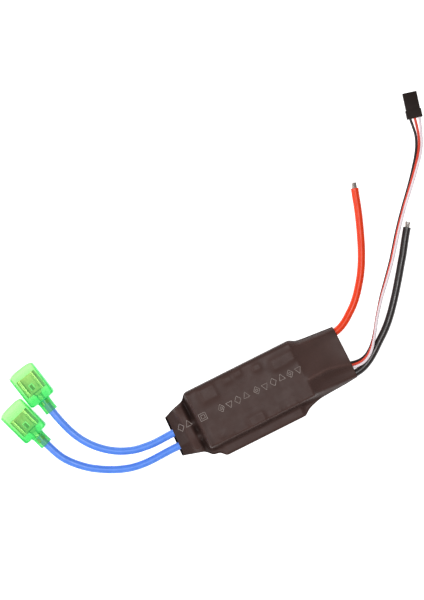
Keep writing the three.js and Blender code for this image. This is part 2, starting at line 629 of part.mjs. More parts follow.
// The terminal runs along +X from the receptacle's front and is centred on its axis.
function tabTerminal() {
  const receptacle = extrude(receptacleSection(), TERMINAL.length).rotateX(Math.PI / 2).rotateZ(Math.PI / 2);
  const baseZ = -TERMINAL.high / 2;
  const { fromFront, length, width } = LOCK_WINDOW;
  const windowBlock = block(
    [fromFront - length / 2, -width / 2, baseZ - LAP],
    [fromFront + length / 2, width / 2, baseZ + LAP],
  );
  const barrelStart = TERMINAL.length + TERMINAL.waistLength;
  const barrelEnd = barrelStart + TERMINAL_BARREL.length;
  const waist = block(
    [TERMINAL.length - LAP, -TERMINAL.waist / 2, baseZ],
    [barrelStart + LAP, TERMINAL.waist / 2, baseZ + TERMINAL.sheet],
  );
  const barrel = rod([barrelStart, 0, 0], [barrelEnd, 0, 0], TERMINAL_BARREL.radius, TERMINAL_BARREL.sides);
  const heel = block(
    [barrelStart, -TERMINAL_HEEL.wide / 2, baseZ],
    [barrelStart + TERMINAL_HEEL.length, TERMINAL_HEEL.wide / 2, 0],
  );
  return join(cut(receptacle, windowBlock), waist, barrel, heel);
}

// The cover's outline from its mouth to the neck's end: distance from the mouth, width, height, and how
// square the section is, from 2 for an ellipse. The shoulder steps straight in from the wide part.
const COVER_STATIONS = [
  [0, COVER.wide, COVER.high, 6],
  [2.5, COVER.wide, COVER.high, 6],
  [COVER.shoulder - 4, COVER.wide, COVER.high, 6],
  [COVER.shoulder - 1.5, COVER.wide, COVER.high, 6],
  [COVER.shoulder - 0.5, COVER.wide - 0.7, COVER.high, 5],
  [COVER.shoulder, COVER.wide - 2.4, COVER.high, 4],
  [COVER.shoulder + 0.1, COVER.neck + 1.2, COVER.high, 2.4],
  [COVER.shoulder + 0.8, COVER.neck, COVER.high, 2],
  [COVER.length, COVER.neck, COVER.high, 2],
];
const COVER_STRAIGHT_STATIONS = 3; // whose inner ring is level with the outer one
const SHOULDER_WALL = 0.8; // share of the wall by which the other inner rings lie nearer to the mouth
const MOUTH_BOW_POWER = 3; // how the mouth's edge curves back towards its two sides

// One ring of the cover: an oblong with round corners, or a circle at the neck.
function coverRing(x, wide, high, squareness, bow) {
  const count = 4 * COVER_STEPS;
  return Array.from({ length: count }, (_, i) => {
    const angle = (2 * Math.PI * i) / count;
    const power = 2 / squareness;
    const c = Math.cos(angle);
    const s = Math.sin(angle);
    const across = Math.sign(c) * Math.abs(c) ** power;
    const up = Math.sign(s) * Math.abs(s) ** power;
    return [x + bow * Math.abs(across) ** MOUTH_BOW_POWER, (wide / 2) * across, (high / 2) * up];
  });
}

// The cover runs along +X from its mouth and is centred on its axis.
function terminalCover() {
  const thick = 2 * COVER.wall;
  const stations = COVER_STATIONS.map(([x, w, h, square], i) => {
    const level = i < COVER_STRAIGHT_STATIONS || i === COVER_STATIONS.length - 1;
    const inX = level ? x : x - COVER.wall * SHOULDER_WALL;
    return { x, w, h, square, inX, bow: i === 0 ? COVER.mouthBow : 0 };
  });
  return shell(
    stations.map(({ x, w, h, square, bow }) => coverRing(x, w, h, square, bow)),
    stations.map(({ inX, w, h, square, bow }) => coverRing(inX, w - thick, h - thick, square, bow)),
  );
}

for (const [name, { mouth, heading, inset }] of Object.entries(TERMINALS)) {
  const place = new THREE.Group();
  place.position.set(mouth[0], mouth[1], COVER_AXIS_Z);
  place.rotation.z = THREE.MathUtils.degToRad(heading);
  controller.add(place);
  add("terminal_cover_" + name, terminalCover(), MATERIALS.cover, place);
  const terminal = add("tab_terminal_" + name, tabTerminal(), MATERIALS.tin, place);
  terminal.position.x = inset;
}

export default controller;
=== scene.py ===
# The looks of an electronic speed controller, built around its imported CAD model. Metres, +Z up.
# +X runs to the battery end, -X to the motor end, and every lead lies on the table z = 0.
import json
import math

import bmesh
import bpy
import numpy as np
from mathutils import Matrix, Vector

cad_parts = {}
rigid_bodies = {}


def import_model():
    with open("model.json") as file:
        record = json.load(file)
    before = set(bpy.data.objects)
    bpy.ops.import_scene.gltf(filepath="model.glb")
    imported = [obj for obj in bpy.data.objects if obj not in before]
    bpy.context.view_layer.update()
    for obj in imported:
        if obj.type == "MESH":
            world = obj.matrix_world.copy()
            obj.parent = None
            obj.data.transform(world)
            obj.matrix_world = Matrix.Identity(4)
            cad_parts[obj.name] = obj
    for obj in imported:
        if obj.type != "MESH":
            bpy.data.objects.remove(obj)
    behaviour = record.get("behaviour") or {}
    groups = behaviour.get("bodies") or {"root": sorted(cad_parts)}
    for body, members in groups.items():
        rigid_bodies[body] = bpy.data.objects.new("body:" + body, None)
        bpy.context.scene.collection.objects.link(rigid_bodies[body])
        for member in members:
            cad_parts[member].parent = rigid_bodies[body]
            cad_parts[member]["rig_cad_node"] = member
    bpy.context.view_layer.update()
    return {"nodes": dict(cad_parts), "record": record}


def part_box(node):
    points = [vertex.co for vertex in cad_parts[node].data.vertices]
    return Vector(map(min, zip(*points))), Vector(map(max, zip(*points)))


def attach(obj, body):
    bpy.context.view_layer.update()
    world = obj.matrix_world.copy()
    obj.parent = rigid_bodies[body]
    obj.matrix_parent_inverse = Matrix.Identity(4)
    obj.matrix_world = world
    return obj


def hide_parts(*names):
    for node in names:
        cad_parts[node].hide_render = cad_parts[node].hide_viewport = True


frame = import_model()

BODY = "controller"

# ---- camera

VIEW_CENTRE = Vector((-0.0002, 0.0577, 0.003))  # the point in the middle of the picture
VIEW_TURN = -26.7  # degrees about Z from +Y up the picture
VIEW_LENGTH = 0.321  # of table along the picture's long side
LENS = 85.0
SENSOR = 36.0


def add_camera():
    """Looks straight down at the table, as the reference view does."""
    data = bpy.data.cameras.new("camera")
    data.lens = LENS
    data.sensor_width = SENSOR
    camera = link_object("camera", data)
    camera.location = VIEW_CENTRE + Vector((0, 0, VIEW_LENGTH * LENS / SENSOR))
    camera.rotation_euler = (0, 0, math.radians(VIEW_TURN))
    bpy.context.scene.camera = camera


# ---- helpers for numbers and meshes


def metres(rows):
    """Rows of lengths in millimetres, turned into metres."""
    return [tuple(round(length / 1000, 7) for length in row) for row in rows]


def bell(offset, width):
    """1 where the offset is zero, falling to nothing past about twice the width."""
    return np.exp(-((offset / width) ** 2))


def fade(value, start, reach):
    """0 up to the start, rising to 1 over the reach."""
    return np.clip((value - start) / reach, 0, 1)


def link_object(name, data):
    """A new object of the scene around some data."""
    made = bpy.data.objects.new(name, data)
    bpy.context.scene.collection.objects.link(made)
    return made


def add_mesh(name, points, faces):
    """A smooth-shaded mesh object from a list of points and a list of faces."""
    mesh = bpy.data.meshes.new(name)
    mesh.from_pydata([tuple(p) for p in points], [], [tuple(f) for f in faces])
    mesh.validate()
    bm = bmesh.new()
    bm.from_mesh(mesh)
    bmesh.ops.recalc_face_normals(bm, faces=bm.faces)
    bm.to_mesh(mesh)
    bm.free()
    mesh.polygons.foreach_set("use_smooth", [True] * len(mesh.polygons))
    return link_object(name, mesh)


def grid_faces(rows, columns, wrap_rows=False):
    """Quads between neighbouring rows of points, numbered row by row. Each row closes on itself."""
    faces = []
    for row in range(rows if wrap_rows else rows - 1):
        here, there = row * columns, (row + 1) % rows * columns
        for column in range(columns):
            beside = (column + 1) % columns
            faces.append((here + column, here + beside, there + beside, there + column))
    return faces


def merged(parts):
    """Several (points, faces) pairs as one."""
    points, faces = [], []
    for part_points, part_faces in parts:
        start = len(points)
        points.extend(part_points)
        faces.extend([tuple(i + start for i in face) for face in part_faces])
    return points, faces


def join_parts(name, parts):
    """One mesh object from several (points, faces) pairs."""
    return add_mesh(name, *merged(parts))


def sharpen(piece, degrees=35):
    """Smooth shading that keeps edges sharper than this angle."""
    bm = bmesh.new()
    bm.from_mesh(piece.data)
    for edge in bm.edges:
        edge.smooth = edge.calc_face_angle(0) < math.radians(degrees)
    bm.to_mesh(piece.data)
    bm.free()


def bevel(piece, width, segments):
    """Rounds a piece's sharp edges."""
    edges = piece.modifiers.new("edges", "BEVEL")
    edges.width = width
    edges.segments = segments
    edges.limit_method = "ANGLE"


def place(points, origin, heading):
    """Points of a local frame moved to an origin and turned about Z, in degrees."""
    turn = Matrix.Rotation(math.radians(heading), 4, "Z")
    return [Vector(origin) + turn @ Vector(p) for p in points]


# ---- paths and tubes


def smooth_path(points, step):
    """A centripetal Catmull-Rom curve through the points, as an array with a point about every step."""
    p = np.array(points, float)
    p = np.vstack([2 * p[0] - p[1], p, 2 * p[-1] - p[-2]])
    fine = []
    for a, b, c, d in zip(p, p[1:], p[2:], p[3:]):
        ab, bc, cd = (np.linalg.norm(v) ** 0.5 for v in (b - a, c - b, d - c))
        start = bc * ((b - a) / ab - (c - a) / (ab + bc) + (c - b) / bc)
        end = bc * ((c - b) / bc - (d - b) / (bc + cd) + (d - c) / cd)
        t = np.linspace(0, 1, 16, endpoint=False)[:, None]
        cubic = 2 * b - 2 * c + start + end
        square = -3 * b + 3 * c - 2 * start - end
        fine.append(b + start * t + square * t**2 + cubic * t**3)
    fine = np.vstack([*fine, p[-2]])
    along = np.r_[0, np.cumsum(np.linalg.norm(np.diff(fine, axis=0), axis=1))]
    even = np.linspace(0, along[-1], max(2, round(along[-1] / step)) + 1)
    return np.column_stack([np.interp(even, along, fine[:, i]) for i in range(3)])


def directions(path):
    """Unit vectors along, across and over a path at each of its points, turning as little as they can."""
    along = np.gradient(path, axis=0)
    along /= np.linalg.norm(along, axis=1)[:, None]
    over = [np.array([0.0, 0.0, 1.0])]
    for direction in along:
        up = over[-1] - direction * (over[-1] @ direction)
        over.append(up / np.linalg.norm(up))
    over = np.array(over[1:])
    return along, np.cross(over, along), over


def tube_faces(rings, sides):
    """Faces of a closed tube, with one face over each end."""
    last = (rings - 1) * sides
    return [*grid_faces(rings, sides), tuple(range(sides))[::-1], tuple(range(last, last + sides))]


def tube_mesh(path, radii, sides):
    """Points and faces of a closed round tube whose rings are centred on the path's points."""
    _, across, over = directions(path)
    turns = np.linspace(0, 2 * np.pi, sides, endpoint=False)
    rings = [
        centre + radius * (np.cos(turns)[:, None] * side + np.sin(turns)[:, None] * up)
        for centre, radius, side, up in zip(path, radii, across, over)
    ]
    return [Vector(p) for p in np.vstack(rings)], tube_faces(len(path), sides)


def with_bevelled_ends(path, cut):
    """The path with one more point just inside each end, where a tube's full radius begins."""
    first, last = (
        path[end] + (path[inner] - path[end]) * cut / np.linalg.norm(path[inner] - path[end])
        for end, inner in ((0, 1), (-1, -2))
    )
    return np.vstack([path[0], first, path[1:-1], last, path[-1]])


# ---- routes of the leads

MOTOR_A_ROUTE = metres([
    (-34.6, 3.6, 6.1), (-37.2, 3.6, 4.7), (-40.2, 3.5, 4), (-43.8, 3.4, 4), (-47.6, 3.4, 3.4),
    (-51.6, 3.4, 2.7), (-57.1, 3.2, 2.3), (-62.4, 3.1, 2.1), (-67.8, 3.6, 2.1), (-73, 4.5, 2.1),
    (-78.1, 6.3, 2.1), (-82.9, 8.8, 2.1), (-87.3, 12, 2.1), (-91.2, 15.7, 2.1), (-94.6, 19.9, 2.1),
    (-97.4, 24.5, 2.2), (-99.5, 29.3, 2.5), (-101, 34, 3), (-102.3, 38.9, 3.4), (-103.4, 43.8, 3.5),
    (-104.3, 48.25, 3.5), (-104.78, 50.6, 3.5),
])
MOTOR_B_ROUTE = metres([
    (-34.6, -4.2, 6.1), (-37.2, -4.2, 4.7), (-40.2, -4.2, 4), (-43.8, -4.1, 4), (-47.6, -4.1, 3.4),
    (-51.6, -4.1, 2.7), (-57, -4.1, 2.3), (-62.4, -4.3, 2.1), (-68.5, -4.4, 2.1), (-74.3, -4, 2.1),
    (-79.6, -3, 2.1), (-84.7, -1.3, 2.1), (-89.6, 0.9, 2.1), (-94.3, 3.6, 2.1), (-98.8, 6.6, 2.1),
    (-102.8, 10.1, 2.3), (-106.4, 14, 2.7), (-109.3, 18, 3.2), (-111.4, 22.3, 3.45), (-113, 26.6, 3.5),
    (-114.95, 31.94, 3.5), (-115.7, 34.22, 3.5),
])
RED_ROUTE = metres([
    (23.4, 14.2, 6.2), (26.4, 14.4, 5.5), (30, 14.3, 4.4), (34, 14, 3.5), (39, 13.5, 3), (45, 12.8, 2.8),
    (51, 12.8, 2.65), (54.8, 13.8, 2.4), (58.4, 15.6, 2.2), (62, 18.1, 2.1), (66.1, 21.3, 2.1),
    (69.9, 25.1, 2.1), (73.3, 29.2, 2.1), (76.5, 33.5, 2.1), (79.4, 38.1, 2.1), (81.9, 42.8, 2.1),
    (84.2, 47.6, 2.1), (86.3, 52.5, 2.1), (88.3, 57.5, 2.1), (90.2, 62.5, 2.1), (91.9, 67.4, 2.1),
    (93.4, 72.2, 2.1), (94.9, 76.8, 2.1),
])
BLACK_ROUTE = metres([
    (23.4, -9.6, 6.2), (26.4, -9.7, 5.5), (30, -10, 4.4), (34, -10.5, 3.5), (39, -11.1, 3),
    (45, -11.5, 2.8), (51.3, -11.7, 2.6), (54.5, -11.3, 2.4), (57.7, -10.3, 2.2), (61.5, -8.4, 2.1),
    (65.7, -5.5, 2.1), (70, -2.2, 2.1), (74.3, 1, 2.1), (78.3, 4.5, 2.1), (82.1, 8.4, 2.1),
    (85.6, 12.4, 2.1), (89, 16.5, 2.1), (92.3, 20.7, 2.1), (95.6, 25, 2.1), (98.8, 29.3, 2.1),
    (102, 33.5, 2.1), (105.1, 37.9, 2.1), (108, 42, 2.1), (110.6, 45.5, 2.1),
])
RIBBON_ROUTE = metres([  # the middle wire
    (25.3, -2.9, 7.4), (28.5, -2.9, 6.6), (32.5, -2.8, 5.5), (38, -2.9, 4.6), (43.5, -4.2, 4.2),
    (48.5, -6.1, 3.9), (53, -7.3, 3.75), (56.9, -7.4, 3.55), (60.5, -6.2, 3.4), (64.1, -3.6, 3.2),
    (67.2, -0.3, 2.7), (70.6, 4.1, 2.25), (73.8, 8.7, 2.2), (77.6, 13.6, 2.2), (81.5, 18.4, 2.2),
    (86, 23.3, 2.15), (90.6, 28.3, 2.15), (95.3, 33.6, 2.1), (99.7, 39.1, 2.1), (104.3, 44.9, 2.1),
    (109.2, 50.7, 2.1), (114.6, 56.7, 2.05), (120, 62.4, 2), (124.9, 67.7, 1.95), (129.3, 72.7, 1.8),
    (133.1, 77.3, 1.6), (136.3, 82.1, 1.35), (138.6, 87.3, 1.2), (140, 92.3, 1.25), (140.9, 96.4, 1.3),
    (141.6, 99.1, 1.3),
])
RIBBON_ROLL = (  # of the ribbon about its length at each point, in degrees
    0, -5, -10, -15, -18, -24, -32, -43, -56, -70, -81, -87, -88, -86, -81, -76, -73, -71, -70,
    -69, -68, -66, -62, -56, -46, -35, -22, -12, -4, 0, 0,
)
# From wire to wire: side by side along most of the ribbon, then spread to the plug's pins.
RIBBON_PITCH = [0.00145] * 27 + [0.00155, 0.0021, 0.00254, 0.00254]

POWER_WIRE = 0.0041  # diameter over the silicone
SIGNAL_WIRE = 0.0014  # diameter over the insulation
CORD_STEP = 0.0008
CUT_BEVEL = 0.00012  # rounding of an insulation's cut edge
CUT_FLARE = 0.05  # by which the cutter spreads a wire's end
FLARE_REACH = 0.0006


def signal_route(place_across):
    """The route of one wire of the ribbon: 1 is the left-hand wire, 0 the middle one, -1 the right."""
    rows = RIBBON_ROUTE
    route = []
    for i, ((x, y, z), roll, pitch) in enumerate(zip(rows, RIBBON_ROLL, RIBBON_PITCH)):
        before, after = rows[max(i - 1, 0)], rows[min(i + 1, len(rows) - 1)]
        heading = math.atan2(after[1] - before[1], after[0] - before[0])
        sideways = place_across * pitch * math.cos(math.radians(roll))
        upwards = place_across * pitch * math.sin(math.radians(roll))
        route.append((x - sideways * math.sin(heading), y + sideways * math.cos(heading), z + upwards))
    return route


def add_cord(name, node, route, diameter, sides):
    """A lead of round wire along its route. It stands for the CAD node's plain tube."""
    path = with_bevelled_ends(smooth_path(route, CORD_STEP), CUT_BEVEL)
    to_cut = np.linalg.norm(path - path[-1], axis=1)
    radii = diameter / 2 * (1 + CUT_FLARE * bell(to_cut, FLARE_REACH))
    radii[[0, -1]] -= CUT_BEVEL
    points, faces = tube_mesh(path, radii, sides)
    cord = add_mesh(name, points, faces)
    sharpen(cord, 40)
    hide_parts(node)
    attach(cord, BODY)
    return cord, path


# ---- materials


def srgb(red, green, blue):
    """A linear colour from 0-255 screen values."""
    def linear(v):
        v /= 255
        return v / 12.92 if v <= 0.04045 else ((v + 0.055) / 1.055) ** 2.4
    return (linear(red), linear(green), linear(blue), 1.0)


NOISE_DETAIL = 3.0
COLOUR_SPAN = (0.35, 0.65)  # the noise's values between which the colour changes


class Finish:
    """A Principled material whose colour, roughness and relief vary with noise over the object."""

    def __init__(self, name, metallic=0.0, specular=0.5):
        self.material = bpy.data.materials.new(name)
        self.material.use_nodes = True
        self.tree = self.material.node_tree
        self.shader = self.tree.nodes["Principled BSDF"]
        self.feed({"Metallic": metallic, "Specular IOR Level": specular})
        self.where = self.add("TexCoord", {}, "Object")

    def feed(self, sockets, node=None):
        """Gives each named socket of a node, or of the shader, a value or a link from another node."""
        for name, value in sockets.items():
            socket = (node or self.shader).inputs[name]
            if isinstance(value, bpy.types.NodeSocket):
                self.tree.links.new(value, socket)
            else:
                socket.default_value = value

    def add(self, kind, sockets, output=0, **settings):
        """One output of a new node of a kind, with its settings and sockets."""
        node = self.tree.nodes.new(f"ShaderNode{kind}")
        for name, setting in settings.items():
            setattr(node, name, setting)
        self.feed(sockets, node)
        return node.outputs[output]

    def noise(self, size):
        """Noise whose features are about this size, in metres."""
        return self.add("TexNoise", {"Vector": self.where, "Scale": 1 / size, "Detail": NOISE_DETAIL}, "Fac")

    def ramp(self, factor, *stops):
        """A colour that runs between two stops, each a position and a colour."""
        output = self.add("ValToRGB", {"Fac": factor}, "Color")
        for element, (position, colour) in zip(output.node.color_ramp.elements, stops):
            element.position = position
            element.color = colour
        return output

    def colour(self, dark, light, size):
        self.feed({"Base Color": self.ramp(self.noise(size), *zip(COLOUR_SPAN, (dark, light)))})

    def roughness(self, low, high, size):
        spread = {"From Min": 0.3, "From Max": 0.7, "To Min": low, "To Max": high}
        self.feed({"Roughness": self.add("MapRange", {"Value": self.noise(size), **spread}, "Result")})

    def relief(self, depth, size):
        bump = {"Strength": 1.0, "Distance": depth, "Height": self.noise(size)}
        self.feed({"Normal": self.add("Bump", bump, "Normal")})


def moulded(name, dark, light, rough, specular=0.5, grain=0.0004, depth=0.00001):
    """A moulded or drawn plastic: slightly uneven colour, gloss and surface."""
    finish = Finish(name, specular=specular)
    finish.colour(srgb(*dark), srgb(*light), grain * 12)
    finish.roughness(rough - 0.05, rough + 0.07, grain * 8)
    finish.relief(depth, grain)
    return finish.material


def metal(name, dark, light, rough, grain=0.0005, depth=0.00001):
    """Bare metal with a fine grain. Its colours are linear."""
    finish = Finish(name, metallic=1.0)
    finish.colour((*dark, 1), (*light, 1), grain * 4)
    finish.roughness(rough - 0.08, rough + 0.12, grain * 2)
    finish.relief(depth, grain)
    return finish.material


def shrunk_film():
    """Heat-shrink film whose colour is scaled by a per-point attribute of painted light: painted shade in its
    hollows, valleys and beside its edges, painted highlights along its crests.
    """
    finish = Finish("sleeve_film", specular=0.14)
    finish.colour(srgb(68, 50, 46), srgb(71, 52, 48), 0.007)
    finish.roughness(0.4, 0.52, 0.005)
    finish.relief(0.000008, 0.0006)
    # the painted shade and highlights, as a factor on the base colour
    painted_light = finish.add("Attribute", {}, "Fac", attribute_name="painted_light")
    plain = finish.shader.inputs["Base Color"].links[0].from_socket
    finish.feed({"Base Color": finish.add("VectorMath", {0: plain, "Scale": painted_light}, operation="SCALE")})
    return finish.material


# The cover's vinyl, from where it hides least to where it hides most: how much, and its colour.
VINYL_SKIN = ((0.22, srgb(150, 240, 130)), (0.42, srgb(46, 242, 118)))
VINYL_TINT = ((0.2, (0.84, 0.98, 0.80, 1)), (0.45, (0.66, 0.97, 0.72, 1)))  # of what shows through it
VINYL_UNEVEN = (0.86, 0.94, 0.86, 1)
VINYL_EDGE = {"From Min": 0.12, "To Max": 0.48}  # how much more it hides where it is seen at a slant


def cover_plastic():
    """Milky green vinyl: the milk attribute sets how much of the surface itself hides what lies behind."""
    finish = Finish("clear_green_plastic", specular=0.35)
    finish.roughness(0.24, 0.36, 0.003)
    finish.relief(0.00001, 0.0015)
    milk = finish.add("Attribute", {}, "Fac", attribute_name="milk")
    facing = finish.add("LayerWeight", {"Blend": 0.5}, "Facing")
    edge = finish.add("MapRange", {"Value": facing, **VINYL_EDGE}, "Result")
    hiding = finish.add("Math", {0: milk, 1: edge}, operation="ADD", use_clamp=True)
    skin = {"Fac": finish.noise(0.004), "Color1": finish.ramp(hiding, *VINYL_SKIN), "Color2": VINYL_UNEVEN}
    finish.feed({"Base Color": finish.add("MixRGB", skin, blend_type="MULTIPLY")})
    clear = finish.add("BsdfTransparent", {"Color": finish.ramp(milk, *VINYL_TINT)})
    mix = finish.add("MixShader", {"Fac": hiding, 1: clear, 2: finish.shader.outputs["BSDF"]})
    finish.feed({"Surface": mix}, finish.tree.nodes["Material Output"])
    return finish.material


# Dark and light colour, roughness, specular level, and the size and depth of the grain.
PLASTICS = {
    # the sleeve's inner face: painted near-black as shade inside the mouths, not the film's own colour
    "film_inside_painted_shade": ((16, 11, 10), (20, 14, 12), 0.7, 0.05),
    "board_laminate": ((20, 70, 40), (28, 88, 50), 0.4),
    "chip_moulding": ((24, 24, 26), (36, 36, 38), 0.6, 0.5, 0.0002, 0.00002),
    "capacitor_sleeve": ((22, 34, 74), (30, 44, 92), 0.35),
    "ceramic": ((150, 118, 82), (172, 140, 104), 0.5, 0.5, 0.0002),
    "blue_silicone": ((84, 136, 236), (92, 144, 242), 0.36, 0.45, 0.0004, 0.000003),
    "red_silicone": ((230, 56, 6), (236, 64, 12), 0.36, 0.35, 0.0004, 0.000003),
    "black_silicone": ((25, 16, 15), (30, 20, 18), 0.36, 0.65, 0.0004, 0.000002),
    "black_wire_pvc": ((26, 18, 17), (32, 23, 22), 0.45, 0.3),
    "red_wire_pvc": ((212, 60, 40), (222, 70, 48), 0.45, 0.3),
    "white_wire_pvc": ((228, 214, 220), (236, 223, 228), 0.45, 0.3),
    "plug_plastic": ((33, 24, 21), (38, 28, 25), 0.5, 0.12, 0.0003),
    "print_ink": ((126, 113, 108), (158, 146, 141), 0.6),
}
METALS = {  # the same, without a specular level
    "bare_aluminium": ((0.55, 0.56, 0.57), (0.72, 0.73, 0.74), 0.35),
    "plated_can": ((0.6, 0.6, 0.58), (0.75, 0.75, 0.72), 0.3),
    "solder": ((0.5, 0.5, 0.52), (0.72, 0.72, 0.74), 0.28),
    "tinned_strands": ((0.24, 0.21, 0.19), (0.42, 0.38, 0.35), 0.34, 0.0002),
    "tinned_contact": ((0.7, 0.68, 0.62), (0.82, 0.8, 0.75), 0.3),
    "tinned_brass": ((0.50, 0.44, 0.25), (0.60, 0.53, 0.32), 0.34, 0.0015, 0.000001),
}
MATERIALS = {
    "sleeve_film": shrunk_film(),
    "clear_green_plastic": cover_plastic(),
    **{name: moulded(name, *row) for name, row in PLASTICS.items()},
    **{name: metal(name, *row) for name, row in METALS.items()},
}


def dress(piece, slot):
    """Gives a piece the material of one of the record's slots."""
    piece.data.materials.clear()
    piece.data.materials.append(MATERIALS[slot])
    return piece


# ---- heat-shrink sleeve

# The sleeve's outline along X: x, low and high edge in Y, and how high the film folds over at each edge.
SLEEVE_OUTLINE = metres([
    (-51.1, -9.9, 12.7, 1.6, 1.6), (-47.5, -11, 14.2, 2.4, 2.6), (-43.5, -12.1, 15.4, 3, 3.6),
    (-40, -13.1, 16.3, 3.4, 4), (-38.4, -14.6, 17.1, 3.6, 5), (-37, -16.3, 19.2, 4.2, 8.8),
    (-36, -16.7, 20.1, 4.6, 10.3), (-32.8, -17.1, 20.1, 4.8, 10.8), (-30.3, -20.1, 20.1, 4.8, 10.8),
    (17.1, -20.1, 20.1, 4.8, 10.8), (19.4, -18.2, 20.1, 4.4, 10.8), (22, -17, 20.1, 4, 10.6),
    (26.3, -15.9, 20.1, 3.6, 9.8), (27.6, -15.6, 19.4, 3.4, 8.8), (29.4, -15.4, 18.2, 3.2, 7),
    (31.6, -15.3, 17.8, 3, 5.4), (36, -15.1, 17.3, 2.6, 4), (44, -14.8, 16.6, 2, 2.4),
    (51.1, -14.2, 15.9, 1.5, 1.5),
])
FILM_STEP = 0.0005  # spacing of the film's grid
FILM_WALL = 0.0004
FILM_GAP = 0.0001  # from the film's inside to what it lies on
RELAX_STEPS = 5000
EDGE_RADIUS = 0.0005
FOOT_RADIUS = 0.0008
SHELF_HEIGHT = 0.0051  # of the film over the transistors' tabs
DECK_HEIGHT = 0.01175  # of the film over the bare board
PART_RISE = 0.00045  # how far the film stands off a part that it tents over
DECK_RADIUS = 0.0011  # rounding of the film over the board's rim, over the tabs and over small parts
SHELF_RADIUS = 0.0008
PART_RADIUS = 0.0004
RIM = 0.0004  # by which the film stands off the sides of what it lies over
OUTLINE_BLUR = 1.4  # in cells of the film's grid
HEIGHT_BLUR = 0.6
SHADE_BLUR = 2
NOWHERE = -1.0  # height of a support beside itself

# Folds that stand in the film: the places along each crest, with their heights, and the fold's radius.
SIGNAL_FOLD = metres([  # over the signal wires
    (26.8, -2.9, 12.1), (31.7, -2.8, 11.1), (38, -2.6, 9.8), (44.5, -4.3, 8), (51.5, -6.2, 6.1),
])
FILM_FOLDS = [
    (SIGNAL_FOLD, 0.0009),
    (metres([(26.2, 14.6, 11.2), (34, 14.1, 8.8), (43, 13.2, 6.8), (51.5, 12.8, 5.2)]), 0.0024),
    (metres([(26.2, -9.8, 10.4), (34, -10.5, 8.2), (43, -11.3, 6.4), (51.5, -11.7, 5.1)]), 0.0024),
    (metres([
        (-42.2, -8.6, 6.2), (-42.4, -4, 7.5), (-42.6, 4, 7.7), (-42.6, 9, 7.5), (-42.8, 13.2, 6.3),
    ]), 0.0024),
    (metres([(-40.8, -9, 6), (-41, -4, 7.4), (-41.1, 4, 7.6), (-41.2, 9, 7.4), (-41.3, 13.6, 6.2)]), 0.0014),
    (metres([(-34.9, -11.2, 12.1), (-34.3, 4, 12.1), (-33.9, 18, 12.1)]), 0.0009),
]

# Painted shade against x: darker towards the motor mouth and darkest in the valley beside the board. Below
# it, the painted shade and painted highlights that change from place to place.
PAINTED_SHADE_ALONG = (
    (-0.0511, -0.0470, -0.0450, -0.0435, -0.0404, -0.0394, -0.0384, -0.0372, -0.0360, -0.0340, -0.0322),
    (0.70, 0.74, 0.84, 1.0, 1.0, 0.64, 0.48, 0.60, 0.82, 0.86, 1.0),
)
PAINTED_SHADE_RELIEF = 0.001  # height of a fold that gives the full painted shade in a hollow and the full painted highlight on a crest
# painted highlight on the film's crests, and painted shade in its hollows
PAINTED_CREST_HIGHLIGHT = 0.2
PAINTED_HOLLOW_SHADE = 0.35
PAINTED_FOLD_HIGHLIGHT = 0.32  # painted highlight along this fold
PAINTED_FOLD_HIGHLIGHT_WIDTH = 0.0008
PAINTED_FLAP_LIGHT = (0.09, -0.05)  # painted light above that fold and painted shade below it, on the battery end
PAINTED_LEAD_SHADE = 0.10  # painted shade over the red lead
PAINTED_EDGE_SHADE = 0.22  # painted shade beside the two long edges
PAINTED_EDGE_SHADE_WIDTH = 0.0011

# How strongly the film is drawn in, as the curvature of a free stretch, per metre.
PULL = {"free": 60, "shelf": 450, "flap_above": 26, "flap_below": 120, "side": 1500, "end": 2200}
TENSION = (0.3, 0.5, 0.5, 0.7)  # the share along X, from the motor end to the battery end
MOTOR_END = -0.0345  # past the board, where the film keeps most of its low edge's height
MOTOR_END_SHARE = 0.85

DECK_PARTS = [
    "voltage_regulator", "gate_driver", "freewheel_diode", "resonator",
    *[f"ceramic_capacitor_{i}" for i in (1, 2, 3)], *[f"chip_resistor_{i}" for i in (1, 2, 3, 4, 5)],
]


def blurred(field, cells):
    """A field smoothed along both axes over about this many cells."""
    reach = int(3 * cells) + 1
    kernel = np.exp(-0.5 * (np.arange(-reach, reach + 1) / cells) ** 2)
    kernel /= kernel.sum()
    for axis in range(field.ndim):
        margins = [(reach, reach) if a == axis else (0, 0) for a in range(field.ndim)]
        padded = np.pad(field, margins, "edge")
        field = np.apply_along_axis(lambda line: np.convolve(line, kernel, "valid"), axis, padded)
    return field


def slab(x, y, low, high, top, radius):
    """Height of a block with a rounded rim over the grid."""
    inside = np.minimum(np.minimum(x - low[0], high[0] - x), np.minimum(y - low[1], high[1] - y))
    drop = radius - np.sqrt(radius**2 - (radius - np.clip(inside, 0, radius)) ** 2)
    return np.where(inside >= 0, top - drop, NOWHERE)


def ridge(x, y, path, radius):
    """Height of a round lead over the grid."""
    height = np.full(x.shape, NOWHERE)
    for px, py, pz in path:
        apart = (x - px) ** 2 + (y - py) ** 2
        crown = pz + np.sqrt(np.maximum(radius**2 - apart, 0))
        height = np.where(apart < radius**2, np.maximum(height, crown), height)
    return height


